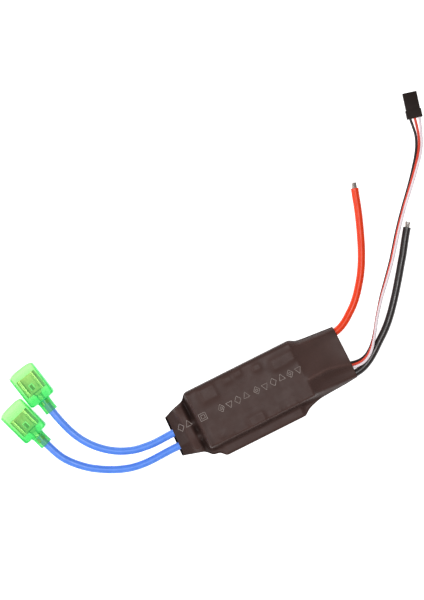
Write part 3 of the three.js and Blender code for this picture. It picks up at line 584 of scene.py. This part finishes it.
class Film:
    """The sleeve's upper side as heights over a grid: a tight film drawn down over what lies inside."""

    def __init__(self, lead_paths):
        outline = np.array(SLEEVE_OUTLINE)
        self.xs = np.arange(outline[0, 0], outline[-1, 0] + FILM_STEP / 2, FILM_STEP)
        self.low, self.high, self.low_fold, self.high_fold = (
            blurred(np.interp(self.xs, outline[:, 0], outline[:, i]), OUTLINE_BLUR) for i in (1, 2, 3, 4)
        )
        self.ys = np.arange(self.low.min() - FILM_STEP, self.high.max() + 2 * FILM_STEP, FILM_STEP)
        x, y = np.meshgrid(self.xs, self.ys, indexing="ij")
        rest = self.supports(x, y, lead_paths)
        middle = (self.low + self.high)[:, None] / 2
        fold = np.where(y < middle, self.low_fold[:, None], self.high_fold[:, None])
        outside = (y <= self.low[:, None]) | (y >= self.high[:, None])
        relaxed = self.relaxed(rest, fold, outside, self.pull(x, y), self.tension(x))
        self.height = blurred(relaxed, HEIGHT_BLUR)
        self.painted_light = self.painted_light_at(x, y)

    def signal_fold(self, x):
        """Where the fold over the signal wires runs."""
        crest = np.array(SIGNAL_FOLD)
        return np.interp(x, crest[:, 0], crest[:, 1])

    def painted_light_at(self, x, y):
        """Painted shade and painted highlights at each place, as a factor on the film's plain colour."""
        stands_out = np.tanh((self.height - blurred(self.height, SHADE_BLUR)) / PAINTED_SHADE_RELIEF)
        along = np.interp(self.xs, *PAINTED_SHADE_ALONG)[:, None]
        painted_light = along * (1 + np.where(stands_out > 0, PAINTED_CREST_HIGHLIGHT, PAINTED_HOLLOW_SHADE) * stands_out)
        above = y - self.signal_fold(x)
        past_board = fade(x, 0.0250, 0.003)
        flap = past_board * fade(-x, -0.0500, 0.006)
        over_lead = fade(y, 0.0095, 0.002) * fade(x, 0.034, 0.004)
        painted_light *= 1 + PAINTED_FOLD_HIGHLIGHT * bell(above, PAINTED_FOLD_HIGHLIGHT_WIDTH) * (x > SIGNAL_FOLD[0][0])
        painted_light *= 1 + np.where(above > 0, *PAINTED_FLAP_LIGHT) * flap
        painted_light *= 1 - PAINTED_LEAD_SHADE * over_lead
        high_edge = bell(self.high[:, None] - y, PAINTED_EDGE_SHADE_WIDTH)
        low_edge = bell(y - self.low[:, None], PAINTED_EDGE_SHADE_WIDTH)
        return painted_light * (1 - PAINTED_EDGE_SHADE * high_edge - PAINTED_EDGE_SHADE * past_board * low_edge)

    def supports(self, x, y, lead_paths):
        """The lowest the film can lie: on the board, the parts, its own folds and the leads."""
        board_low, board_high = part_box("circuit_board")
        spreader_low, spreader_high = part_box("heat_spreader")
        deck_low, deck_high = (board_low.x - RIM, board_low.y - RIM), (board_high.x + RIM, board_high.y + RIM)
        shelf_low, shelf_high = (spreader_low.x, spreader_low.y - RIM), (spreader_high.x, board_low.y)
        rim = Vector((RIM, RIM))
        rest = [
            slab(x, y, deck_low, deck_high, DECK_HEIGHT, DECK_RADIUS),
            slab(x, y, shelf_low, shelf_high, SHELF_HEIGHT, SHELF_RADIUS),
            np.where(x < MOTOR_END, MOTOR_END_SHARE * self.low_fold[:, None], NOWHERE),
        ]
        for low, high in map(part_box, DECK_PARTS):
            top = high.z + (FILM_WALL + PART_RISE)
            rest.append(slab(x, y, low.xy - rim, high.xy + rim, top, PART_RADIUS))
        for crest, radius in FILM_FOLDS:
            rest.append(ridge(x, y, smooth_path(crest, FILM_STEP) - (0, 0, radius), radius))
        for path, radius in lead_paths:
            under = path[np.abs(path[:, 0]) < self.xs[-1] + radius]
            rest.append(ridge(x, y, under, radius + FILM_WALL + FILM_GAP))
        return np.maximum.reduce(rest)

    def pull(self, x, y):
        """How strongly each place of the film is drawn in."""
        board_low, board_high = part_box("circuit_board")
        beside = np.abs(x + 0.005) < 0.033
        past_side = bell(y - board_low.y + 0.0012, 0.0014) * beside
        past_end = bell(x - board_low.x + 0.0025, 0.0012)
        flap = np.where(y > self.signal_fold(x), PULL["flap_above"], PULL["flap_below"])
        plain = np.where(beside & (y < board_low.y), PULL["shelf"], PULL["free"])
        return np.where(x > board_high.x, flap, plain) + PULL["side"] * past_side + PULL["end"] * past_end

    def tension(self, x):
        """The share of the film's tension that runs along X; the rest runs across it."""
        low, high = (corner.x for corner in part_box("circuit_board"))
        return np.interp(x, (low - 0.004, low, high, high + 0.002), TENSION)

    def relaxed(self, rest, fold, outside, pull, along):
        height = np.where(outside, fold, np.maximum(rest, fold))
        sink = pull * FILM_STEP**2 / 4
        for _ in range(RELAX_STEPS):
            padded = np.pad(height, 1, "edge")
            lengthways = (padded[2:, 1:-1] + padded[:-2, 1:-1]) / 2
            crossways = (padded[1:-1, 2:] + padded[1:-1, :-2]) / 2
            mean = along * lengthways + (1 - along) * crossways
            height = np.where(outside, fold, np.maximum(mean - sink, rest))
        return height

    def at(self, x, y):
        """The film's height over a point."""
        column, row = (x - self.xs[0]) / FILM_STEP, (y - self.ys[0]) / FILM_STEP
        i = int(np.clip(column, 0, len(self.xs) - 2))
        j = int(np.clip(row, 0, len(self.ys) - 2))
        u, v = column - i, row - j
        near, far = self.height[i:i + 2, j] * (1 - v) + self.height[i:i + 2, j + 1] * v
        return near * (1 - u) + far * u


TOP_POINTS = 84
WALL_POINTS = 7
FLOOR_POINTS = 40
ARC_POINTS = 4
WAIST = 0.0007  # how far the tall side draws in below the board
MOUTH_SET_BACK = 0.0013  # of the upper layer from the lower one at the motor end
MOUTH_SLANT = 0.0008  # by which the cut runs back from the low side to the tall one
MOUTH_OVERHANG = 0.0009
MOUTH_REACH = 0.007
FOLD_SHARE = 0.45  # of the film's height at an edge that a rounding may take
WAIST_FULL = 0.008  # height of an edge whose side draws in fully
LIP_FULL = 0.003  # height over the table from which the mouth's upper layer is set back


def sleeve_ring(film, i):
    """The film's closed section at one station along X, from the low side's foot round to it again."""
    low, high = film.low[i], film.high[i]
    low_top, high_top = film.low_fold[i], film.high_fold[i]
    most = FOLD_SHARE * min(low_top, high_top)
    edge, foot = min(EDGE_RADIUS, most), min(FOOT_RADIUS, most)
    ring = []

    def arc(y, z, radius, start):
        for angle in np.radians(np.linspace(start, start + 90, ARC_POINTS + 2)[1:-1]):
            ring.append((y + radius * math.cos(angle), z + radius * math.sin(angle)))

    def wall(y, bottom, top, inward):
        for t in np.linspace(0, 1, WALL_POINTS):
            drawn = WAIST * math.sin(math.pi * t) * min(1.0, (abs(top - bottom) / WAIST_FULL) ** 2)
            ring.append((y + inward * drawn, bottom + (top - bottom) * t))

    ring.extend((y, 0.0) for y in np.linspace(low + foot, high - foot, FLOOR_POINTS))
    arc(high - foot, foot, foot, -90)
    wall(high, foot, high_top - edge, -1)
    arc(high - edge, high_top - edge, edge, 0)
    for y in np.linspace(high - edge, low + edge, TOP_POINTS):
        ring.append((y, float(np.interp(y, film.ys, film.height[i]))))
    arc(low + edge, low_top - edge, edge, 90)
    wall(low, low_top - edge, foot, 1)
    arc(low + foot, foot, foot, 180)
    return ring


def add_sleeve(film):
    points, painted_light_values = [], []
    for i, x in enumerate(film.xs):
        near_mouth = max(0.0, 1 - (x - film.xs[0]) / MOUTH_REACH)
        for y, z in sleeve_ring(film, i):
            upper = min(1.0, z / LIP_FULL)
            slant = MOUTH_SLANT * (y - film.low[0]) / (film.high[0] - film.low[0])
            points.append((x + near_mouth * (MOUTH_SET_BACK * upper + slant - MOUTH_OVERHANG), y, z))
            # the top takes the film's painted shade and highlights; the underside stays plain
            painted_light_values.append(float(np.interp(y, film.ys, film.painted_light[i])) if z > FOOT_RADIUS else 1.0)
    sleeve = add_mesh("sleeve_skin", points, grid_faces(len(film.xs), len(points) // len(film.xs)))
    painted_light = sleeve.data.attributes.new("painted_light", "FLOAT", "POINT")
    painted_light.data.foreach_set("value", painted_light_values)
    thick = sleeve.modifiers.new("film_wall", "SOLIDIFY")
    thick.thickness = FILM_WALL
    thick.offset = -1
    # the inner shell takes a near-black material: painted shade inside the film
    thick.material_offset = 1
    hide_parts("heat_shrink_sleeve")
    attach(sleeve, BODY)
    dress(sleeve, "sleeve_film")
    sleeve.data.materials.append(MATERIALS["film_inside_painted_shade"])
    return sleeve


# ---- abstract marks printed on the sleeve

MARK_ROW_Y = 0.0044
MARK_HEIGHT = 0.0044
MARK_PITCH = 0.0049
MARK_LINE = 0.00026  # width of a printed stroke
MARK_SQUARE_PLACE = (-0.0322, 0.0047)
MARK_SQUARES = (0.0027, 0.0014)  # from the middle to a corner
MARK_PROUD = 0.00004
MARK_WIDE = 0.36  # half a figure's width, as a share of the pitch
TRIANGLE_WIDE = 1.15  # against the other figures
INNER_SHARE = 0.4  # of a figure inside another
MARK_STEP = 0.0003  # along a stroke
MARK_STARTS = [
    -0.0455, -0.0410, *np.arange(-0.0215, -0.004, MARK_PITCH), *np.arange(-0.0005, 0.0265, MARK_PITCH),
]


def polygon(sides, first_degrees, wide, high):
    """A closed outline with its corners on an ellipse."""
    turns = np.radians(first_degrees + np.linspace(0, 360, sides + 1))
    return [(wide * math.cos(t), high * math.sin(t)) for t in turns]


def mark_shapes():
    """Plain figures of the printed row: lozenges and triangles, and one pair of nested squares."""
    half = MARK_HEIGHT / 2
    wide = MARK_PITCH * MARK_WIDE
    figures = [
        [polygon(4, 90, wide, half)],
        [polygon(3, 90, wide * TRIANGLE_WIDE, half)],
        [polygon(4, 90, wide, half), polygon(4, 90, wide * INNER_SHARE, half * INNER_SHARE)],
        [polygon(3, -90, wide * TRIANGLE_WIDE, half)],
    ]
    strokes = []
    for i, x in enumerate(MARK_STARTS):
        for line in figures[i % len(figures)]:
            strokes.append([(x + u, MARK_ROW_Y + v) for u, v in line])
    square_x, square_y = MARK_SQUARE_PLACE
    for reach in MARK_SQUARES:
        strokes.append([(square_x + u, square_y + v) for u, v in polygon(4, 45, reach, reach)])
    return strokes


def stroke_mesh(film, line):
    """A thin raised stroke that follows the film under it."""
    fine = []
    for start, end in zip(line, line[1:]):
        steps = max(2, round(math.dist(start, end) / MARK_STEP))
        fine.extend(np.linspace(start, end, steps, endpoint=False))
    fine = np.array([*fine, line[-1]])
    along = np.gradient(fine, axis=0)
    along /= np.linalg.norm(along, axis=1)[:, None]
    across = np.column_stack([-along[:, 1], along[:, 0]]) * MARK_LINE / 2
    points = []
    for (x, y), (dx, dy) in zip(fine, across):
        for side, rise in ((1, -1), (1, 1), (-1, 1), (-1, -1)):
            px, py = x + side * dx, y + side * dy
            points.append(Vector((px, py, film.at(px, py) + rise * MARK_PROUD)))
    last = 4 * (len(fine) - 1)
    faces = grid_faces(len(fine), 4) + [(0, 1, 2, 3), (last + 3, last + 2, last + 1, last)]
    return points, faces


def add_marks(film):
    marks = join_parts("printed_marks", [stroke_mesh(film, line) for line in mark_shapes()])
    marks.data.materials.append(MATERIALS["print_ink"])
    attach(marks, BODY)
    return marks


# ---- tab terminals and their covers

# Each terminal lies along its own axis. The mouth is the middle of the cover's open end, the heading is
# the way from the mouth to the wire, in degrees from +X, and inset is how far in the receptacle begins.
TERMINALS = {
    "a": {"mouth": (-0.10892, 0.07086, 0.0035), "heading": -78.5, "inset": 0.0048},
    "b": {"mouth": (-0.12278, 0.05536, 0.0035), "heading": -71.5, "inset": 0.0065},
}
COVER = {
    "wide": 0.0152, "high": 0.0070, "wall": 0.0006, "shoulder": 0.0209, "length": 0.0283, "neck": 0.0070,
}
COVER_BOW = 0.0009  # how far the mouth's edge curves back at its two sides
BOW_REACH = 0.005  # from the mouth, over which the bow dies away
COVER_LIP = 0.0009  # rounding of the mouth's two corners
COVER_EDGE = 0.0003  # by which the wall thins at its two ends
# Milkiness of the wall against distance from the mouth.
COVER_MILK = (
    (0.0001, 0.0005, 0.0011, 0.0035, 0.0065, 0.0135, 0.0155, 0.0160, 0.0167, 0.0205, 0.0220, 0.0240, 0.0283),
    (0.36, 0.08, 0.04, 0.17, 0.27, 0.30, 0.34, 0.58, 0.44, 0.48, 0.34, 0.20, 0.30),
)
SIDE_MILK = 0.24  # more of it at the two sides
SIDE_START = 0.8  # where that begins, as a share of the half width
COVER_CORNER = 0.0016  # rounding of the shoulders
COVER_SIDES = 112
COVER_TURNS = np.linspace(0, 2 * np.pi, COVER_SIDES, endpoint=False)
OBLONG = 6  # squareness of the cover's section; 2 is an ellipse


def cover_stations(inwards, corner, edge):
    """The wall from the mouth to the neck's end: distance, width, height, squareness."""
    wide, high, neck = (COVER[key] - 2 * inwards for key in ("wide", "high", "neck"))
    shoulder = COVER["shoulder"] - inwards
    rows = [(0.0, wide + edge, high + edge, OBLONG)]
    rows += [(x, wide, high, OBLONG) for x in (0.0004, 0.0017, 0.0045, 0.0095, 0.0150)]
    for turn in np.radians((0, 22, 45, 67, 90)):
        drawn = corner * (1 - math.cos(turn))
        x = shoulder - corner * (1 - math.sin(turn))
        rows.append((x, wide - 2 * drawn, high, OBLONG - 2 * turn / math.pi))
    return rows + [
        (shoulder + 0.00004, neck + 0.0022, high, 3.2), (shoulder + 0.0001, neck + 0.0010, high, 2.4),
        (shoulder + 0.0004, neck + 0.0003, high, 2.1), (shoulder + 0.0009, neck, high, 2),
        (0.0265, neck - 0.0001, high - 0.0001, 2), (0.0273, neck + 0.0001, high, 2),
        (0.0280, neck + 0.0001, high, 2), (COVER["length"], neck + edge, high + edge, 2),
    ]


def cover_ring(x, wide, high, squareness, bow):
    """One ring of the wall; bow is how much of the mouth's curve it takes part in."""
    waves = (np.cos(COVER_TURNS), np.sin(COVER_TURNS))
    across, over = (np.sign(wave) * np.abs(wave) ** (2 / squareness) for wave in waves)
    half = COVER["wide"] / 2
    in_corner = fade(np.abs(across) * half, half - COVER_LIP, COVER_LIP)
    back = bow * (COVER_BOW * np.abs(across) ** 3 + COVER_LIP * (1 - np.sqrt(1 - in_corner ** 2)))
    return [(x + b, wide / 2 * c, high / 2 * s) for b, c, s in zip(back, across, over)]


def add_cover(key):
    """A see-through cover, open at its mouth and at its neck, that slides on the lead."""
    spot = TERMINALS[key]
    wall = COVER["wall"]
    outside = cover_stations(0, COVER_CORNER, -COVER_EDGE)
    inside = cover_stations(wall, COVER_CORNER - wall, COVER_EDGE)
    stations = outside + inside[::-1]
    rings = []
    for x, wide, high, squareness in stations:
        rings.extend(cover_ring(x, wide, high, squareness, max(0.0, 1 - x / BOW_REACH)))
    points = place(rings, spot["mouth"], spot["heading"])
    cover = add_mesh(f"cover_{key}_shell", points, grid_faces(len(stations), COVER_SIDES, wrap_rows=True))
    milk = cover.data.attributes.new("milk", "FLOAT", "POINT")
    aside = np.abs(np.cos(COVER_TURNS)) ** (2 / OBLONG)
    side_milk = SIDE_MILK * fade(aside, SIDE_START, 1 - SIDE_START) ** 2
    skin = np.concatenate([side_milk + np.interp(row[0], *COVER_MILK) for row in outside])
    milks = np.concatenate([skin, np.zeros(len(rings) - len(skin))])
    milk.data.foreach_set("value", milks.astype(np.float32))
    round_off = cover.modifiers.new("round_off", "SUBSURF")
    round_off.levels = round_off.render_levels = 1
    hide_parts(f"terminal_cover_{key}")
    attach(cover, f"cover_{key}")
    return dress(cover, "clear_green_plastic")


TAB = {"length": 0.0106, "wide": 0.0118, "high": 0.0036, "sheet": 0.00045}
CURL_POINTS = 22
CURL_DEGREES = 220
CURL_RAMP = 0.0014  # over which the curls open at the receptacle's ends
CURL_OPENS = (0.25, 0.55)  # by how much of a quarter turn, at the front and at the rear
RECEPTACLE_STATIONS = (0, 0.0003, 0.0008, 0.0016, 0.003, 0.005, 0.007, 0.0085, 0.0093, 0.0099, 0.0103, 0.0106)


def sheet_section(side, outer, inner, centre, degrees):
    """Outer and inner points of one curl, from the base plate's middle to the curl's lip."""
    angles = np.radians(np.linspace(-90, -90 + degrees, CURL_POINTS))
    flat = np.linspace(0, centre, 6, endpoint=False)
    return [
        [(side * y, -r) for y in flat]
        + [(side * (centre + r * math.cos(a)), r * math.sin(a)) for a in angles]
        for r in (outer, inner)
    ]


def sheet_ends(starts, count):
    """End faces of a bent sheet, whose section of count points runs out on one side and back on the other."""
    return [
        (start + i, start + i + 1, start + count - 2 - i, start + count - 1 - i)
        for start in starts for i in range(count // 2 - 1)
    ]


def receptacle_part():
    """A base plate whose two sides curl up and over, flared a little at the front."""
    outer = TAB["high"] / 2
    inner = outer - TAB["sheet"]
    centre = TAB["wide"] / 2 - outer
    front, rear = CURL_OPENS
    rings = []
    for x in RECEPTACLE_STATIONS:
        end = max(0.0, 1 - x / CURL_RAMP) * front + max(0.0, 1 - (TAB["length"] - x) / CURL_RAMP) * rear
        degrees = CURL_DEGREES - 90 * end
        right_out, right_in = sheet_section(1, outer, inner, centre, degrees)
        left_out, left_in = sheet_section(-1, outer, inner, centre, degrees)
        ring = left_out[::-1] + right_out[1:] + right_in[::-1] + left_in[1:]
        rings.extend((x, y, z) for y, z in ring)
    count = len(rings) // len(RECEPTACLE_STATIONS)
    faces = grid_faces(len(RECEPTACLE_STATIONS), count) + sheet_ends((0, len(rings) - count), count)
    return [Vector(p) for p in rings], faces


def box_part(low, high):
    """A block as eight points and six faces."""
    xs, ys, zs = zip(low, high)
    points = [Vector((x, y, z)) for x in xs for y in ys for z in zs]
    return points, [(0, 1, 3, 2), (4, 6, 7, 5), (0, 4, 5, 1), (2, 3, 7, 6), (0, 2, 6, 4), (1, 5, 7, 3)]


def crimp_part(x_start, x_end, radius, groove, flare):
    """A closed barrel crimped round a wire: its two wings meet in a groove along the top."""
    stations = np.linspace(0, 1, 9)
    turns = np.arange(0, 360, 7.5)
    rings = []
    for t in stations:
        x, spread = x_start + (x_end - x_start) * t, 1 + flare * (abs(2 * t - 1) ** 4)
        for turn in turns:
            r, angle = radius * spread * (1 - groove * bell(turn - 90, 20)), math.radians(turn)
            rings.append(Vector((x, r * math.cos(angle), r * math.sin(angle))))
    return rings, tube_faces(len(stations), len(turns))


def wing_part(x_start, x_end, radius, sheet, gap_degrees):
    """A band bent round the insulation, open along the top."""
    turns = np.radians(np.linspace(90 + gap_degrees / 2, 450 - gap_degrees / 2, 40))
    section = [(radius + sheet, t) for t in turns] + [(radius, t) for t in turns[::-1]]
    points = [Vector((x, r * math.cos(t), r * math.sin(t))) for x in (x_start, x_end) for r, t in section]
    count = len(section)
    return points, grid_faces(2, count) + sheet_ends((0, count), count)


# Along the waist: x, half its width, and how far its sides rise.
WAIST_ROWS = metres([(10, 3, 0), (11, 2.2, 0.6), (12.1, 1.8, 1.2), (12.8, 1.7, 1.4)])
WAIST_FLAT = 0.8  # the share of its width that is flat


def waist_part():
    """The trough between the receptacle and the crimps."""
    base = -TAB["high"] / 2
    rows = []
    for x, half, rise in WAIST_ROWS:
        flat = half * WAIST_FLAT
        rows += [(x, y, base + z) for y, z in ((-half, rise), (-flat, 0.0), (flat, 0.0), (half, rise))]
    under = [(x, y, z + TAB["sheet"]) for x, y, z in rows]
    points = []
    for i in range(4):
        points.extend(rows[4 * i:4 * i + 4] + under[4 * i:4 * i + 4][::-1])
    faces = grid_faces(4, 8) + [tuple(range(8)), tuple(range(24, 32))]
    return [Vector(p) for p in points], faces


LANCE = {"low": (0.0049, -0.0020), "high": (0.0083, 0.0006), "gap": 0.0005, "lift": 0.0009}


def windowed_receptacle():
    """The receptacle with the window that its locking tongue is cut from."""
    base = -TAB["high"] / 2
    cutter = box_part((*LANCE["low"], base - TAB["sheet"]), (*LANCE["high"], base + 2 * TAB["sheet"]))
    piece = carved("receptacle", [receptacle_part()], [cutter])
    points = [vertex.co.copy() for vertex in piece.data.vertices]
    faces = [tuple(face.vertices) for face in piece.data.polygons]
    bpy.data.objects.remove(piece)
    return points, faces


def lance_part():
    """The locking tongue that stands up in the window from its rear edge."""
    base = -TAB["high"] / 2
    gap = LANCE["gap"]
    low = (LANCE["low"][0] + gap, LANCE["low"][1] + gap, base)
    high = (LANCE["high"][0] + gap / 2, LANCE["high"][1] - gap, base + TAB["sheet"])
    points, faces = box_part(low, high)
    for p in points:
        if p.x < LANCE["low"][0] + 2 * gap:
            p.z += LANCE["lift"]
    return points, faces


CRIMP = {"x_start": 0.0122, "x_end": 0.0156, "radius": 0.00178, "groove": 0.22, "flare": 0.07}
WINGS = {"x_start": 0.0164, "x_end": 0.0188, "radius": 0.00207, "sheet": 0.0003, "gap_degrees": 34}


def add_terminal(key):
    """A tab receptacle with its two crimps, which stays on the lead."""
    spot = TERMINALS[key]
    points, faces = merged([
        windowed_receptacle(), waist_part(), lance_part(), crimp_part(**CRIMP), wing_part(**WINGS),
    ])
    points = [p + Vector((spot["inset"], 0, 0)) for p in points]
    terminal = add_mesh(f"tab_terminal_{key}_sheet", place(points, spot["mouth"], spot["heading"]), faces)
    sharpen(terminal)
    bevel(terminal, width=0.00006, segments=2)
    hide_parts(f"tab_terminal_{key}")
    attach(terminal, BODY)
    return dress(terminal, "tinned_brass")


# ---- stripped and tinned lead ends

TIP_LENGTH = 0.0031
TIP_ROOT = 0.0008  # how far a bundle reaches back into the insulation
TIP_TWIST = 0.9  # turn of the strands over the tip's length, in radians
TIP_SPREAD = 1.12  # of each strand, so that neighbours run into each other
TIP_TAPER = 0.1
TIP_END = 0.7  # of a strand's radius, at its last point
TIP_UNEVEN = (-0.08, 0.02)  # of the strands' lengths
STRANDS = {1: 14, 2: 9}  # in a bundle, against how many bundles there are
BUNDLE_LEAN = 0.2  # by which a bundle bends away, as a share of how far it lies to the side


def strand_bundle(start, along, across, over, radius, strands, lean):
    """Strands twisted round a core of solder; lean is how far the bundle's end bends sideways."""
    share = math.sin(math.pi / strands)
    strand = radius * share / (1 + share) * TIP_SPREAD
    steps = np.linspace(-TIP_ROOT / TIP_LENGTH, 1, 12)
    parts = []
    rng = np.random.default_rng(7)
    for i in range(-1, strands):
        reach = TIP_LENGTH * (1 if i < 0 else 1 + rng.uniform(*TIP_UNEVEN))
        offset = 0 if i < 0 else radius - strand
        line = []
        for t in steps:
            turn = 2 * math.pi * i / strands + TIP_TWIST * t
            taper = 1 - TIP_TAPER * max(t, 0)
            sideways = across * (offset * taper * math.cos(turn) + lean * max(t, 0) ** 1.5)
            line.append(start + along * reach * t + sideways + over * offset * taper * math.sin(turn))
        radii = np.full(len(line), radius - 1.5 * strand if i < 0 else strand)
        radii[-1] *= TIP_END
        parts.append(tube_mesh(np.array(line), radii, 12))
    return parts


def add_tip(name, node, route, bundles):
    """The soldered strands past a lead's cut end; bundles lists each one's offset and radius."""
    path = smooth_path(route, CORD_STEP)
    along, across, over = (v[-1] for v in directions(path))
    parts = []
    for offset, radius in bundles:
        start, lean = path[-1] + across * offset, offset * BUNDLE_LEAN
        parts += strand_bundle(start, along, across, over, radius, STRANDS[len(bundles)], lean)
    tip = join_parts(name, parts)
    sharpen(tip, 50)
    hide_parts(node)
    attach(tip, BODY)
    return dress(tip, "tinned_strands")


# ---- servo plug

PLUG_REAR = (0.1408, 0.0960)
PLUG_HEADING = 75.6
PLUG = {"length": 0.0140, "wide": 0.0076, "rear_wide": 0.0084, "rear_length": 0.0046, "high": 0.0026}
PIN_PITCH = 0.00254
CHANNEL = 0.0019
PIN_HOLE = 0.0010
PIN_WALL = 0.0030
PLUG_CHAMFER = 0.0005
LATCH_WINDOW = (0.0052, 0.0076, 0.0007)  # from, to, and half its width
LATCH_TONGUE = (0.0053, 0.0074, 0.0005)
TONGUE_HEIGHTS = (0.0001, 0.0004)  # over the plug's lower side
THROUGH = 0.001  # by which a cutter runs past what it cuts


def carved(name, parts, cutters):
    """The parts joined into one solid, less the cutters."""
    body = add_mesh(name, *parts[0])
    tools = [(part, "UNION") for part in parts[1:]] + [(part, "DIFFERENCE") for part in cutters]
    for i, (part, operation) in enumerate(tools):
        tool = add_mesh(f"{name}_tool_{i}", *part)
        step = body.modifiers.new(f"step_{i}", "BOOLEAN")
        step.operation = operation
        step.object = tool
        step.solver = "EXACT"
    bpy.context.view_layer.update()
    made = bpy.data.meshes.new_from_object(body.evaluated_get(bpy.context.evaluated_depsgraph_get()))
    for step in list(body.modifiers):
        tool = step.object
        body.modifiers.remove(step)
        bpy.data.objects.remove(tool)
    body.data = made
    return body


def plug_block(x_start, x_end, wide, high, chamfer):
    """A length of the housing with its two upper long edges chamfered."""
    y, z = wide / 2, high / 2
    section = [(-y, -z), (y, -z), (y, z - chamfer), (y - chamfer, z), (-y + chamfer, z), (-y, z - chamfer)]
    points = [Vector((x, a, b)) for x in (x_start, x_end) for a, b in section]
    return points, grid_faces(2, 6) + [(5, 4, 3, 2, 1, 0), (6, 7, 8, 9, 10, 11)]


def add_plug():
    length, high = PLUG["length"], PLUG["high"]
    parts = [
        plug_block(0, length, PLUG["wide"], high, PLUG_CHAMFER),
        plug_block(0, PLUG["rear_length"], PLUG["rear_wide"], high, PLUG_CHAMFER),
    ]
    front = length - PIN_WALL
    half, pin = CHANNEL / 2, PIN_HOLE / 2
    window_from, window_to, window_half = LATCH_WINDOW
    tongue_from, tongue_to, tongue_half = LATCH_TONGUE
    tongue_low, tongue_high = (rise - high / 2 for rise in TONGUE_HEIGHTS)
    cutters, latches = [], []
    for y in (-PIN_PITCH, 0, PIN_PITCH):
        cutters.append(box_part((-THROUGH, y - half, -half), (front, y + half, half)))
        cutters.append(box_part((front - THROUGH, y - pin, -pin), (length + THROUGH, y + pin, pin)))
        cutters.append(box_part((window_from, y - window_half, -high), (window_to, y + window_half, 0)))
        latches.append(box_part(
            (tongue_from, y - tongue_half, tongue_low), (tongue_to, y + tongue_half, tongue_high),
        ))
    plug = carved("servo_plug_shell", parts, cutters)
    tongues = join_parts("servo_plug_tongues", latches)
    origin = Vector((*PLUG_REAR, high / 2))
    for piece in (plug, tongues):
        piece.data.transform(Matrix.Translation(origin) @ Matrix.Rotation(math.radians(PLUG_HEADING), 4, "Z"))
        bevel(piece, width=0.00025, segments=3)
        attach(piece, BODY)
        dress(piece, "plug_plastic")
    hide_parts("servo_plug_housing")
    return plug, tongues


# ---- everything inside, and the stage


def dress_nodes():
    """Gives each CAD node that still shows the material of its slot in the record."""
    for row in frame["record"]["subparts"]:
        node = frame["nodes"][row["node"]]
        if not node.hide_render:
            dress(node, row["material_slot"])


FLOOR_SIZE = 6.0
FLOOR_DEPTH = -0.0002  # just under the leads, so that no faces share a plane


def add_floor():
    half = FLOOR_SIZE / 2
    corners = [(-half, -half), (half, -half), (half, half), (-half, half)]
    floor = add_mesh("floor", [(x, y, FLOOR_DEPTH) for x, y in corners], [(0, 1, 2, 3)])
    paper = Finish("white_paper", specular=0.1)
    paper.colour((0.86, 0.86, 0.86, 1), (0.88, 0.88, 0.88, 1), 0.02)
    paper.roughness(0.8, 0.9, 0.01)
    paper.feed({"Emission Color": (1, 1, 1, 1), "Emission Strength": 0.8})
    floor.data.materials.append(paper.material)


LIGHT_AIM = Vector((0.0, 0.05, 0.0))


def add_light(name, spot, size, watts):
    data = bpy.data.lights.new(name, "AREA")
    data.shape = "RECTANGLE"
    data.size, data.size_y = size
    data.energy = watts
    light = link_object(name, data)
    light.location = spot
    light.rotation_euler = (LIGHT_AIM - Vector(spot)).to_track_quat("-Z", "Y").to_euler()


def add_stage():
    add_floor()
    add_light("overhead", (0.06, 0.05, 1.0), (0.24, 0.24), 4.6)
    add_light("left_key", (-0.8, 0.12, 0.85), (0.6, 0.6), 6.6)
    world = bpy.data.worlds.new("studio")
    world.use_nodes = True
    world.node_tree.nodes["Background"].inputs["Color"].default_value = (1, 1, 1, 1)
    world.node_tree.nodes["Background"].inputs["Strength"].default_value = 0.25
    bpy.context.scene.world = world
    bpy.context.scene.view_settings.view_transform = "Standard"


# ---- the build

add_camera()

LEADS = {
    "motor_a": ("motor_lead_a", MOTOR_A_ROUTE, POWER_WIRE, "blue_silicone"),
    "motor_b": ("motor_lead_b", MOTOR_B_ROUTE, POWER_WIRE, "blue_silicone"),
    "battery_positive": ("battery_lead_positive", RED_ROUTE, POWER_WIRE, "red_silicone"),
    "battery_negative": ("battery_lead_negative", BLACK_ROUTE, POWER_WIRE, "black_silicone"),
    "signal_ground": ("signal_wire_ground", signal_route(1), SIGNAL_WIRE, "black_wire_pvc"),
    "signal_power": ("signal_wire_power", signal_route(0), SIGNAL_WIRE, "red_wire_pvc"),
    "signal_signal": ("signal_wire_signal", signal_route(-1), SIGNAL_WIRE, "white_wire_pvc"),
}
cords = {}
for name, (node, route, diameter, slot) in LEADS.items():
    cord, path = add_cord(f"{name}_wire", node, route, diameter, 32 if diameter == POWER_WIRE else 20)
    dress(cord, slot)
    cords[name] = (cord, path, diameter)

film = Film([(path, diameter / 2) for _, path, diameter in cords.values()])
add_sleeve(film)
add_marks(film)
plug = add_plug()
for key in TERMINALS:
    cover = add_cover(key)
    terminal = add_terminal(key)
TIPS = {  # each bundle of strands: how far it lies to the side, and its radius
    "battery_positive": (RED_ROUTE, [(0.0, 0.00135)]),
    "battery_negative": (BLACK_ROUTE, [(-0.00062, 0.00062), (0.00062, 0.00062)]),
}
for key, (route, bundles) in TIPS.items():
    node = key.replace("battery", "battery_tip")
    tip = add_tip(f"{node}_strands", node, route, bundles)
dress_nodes()
add_stage()
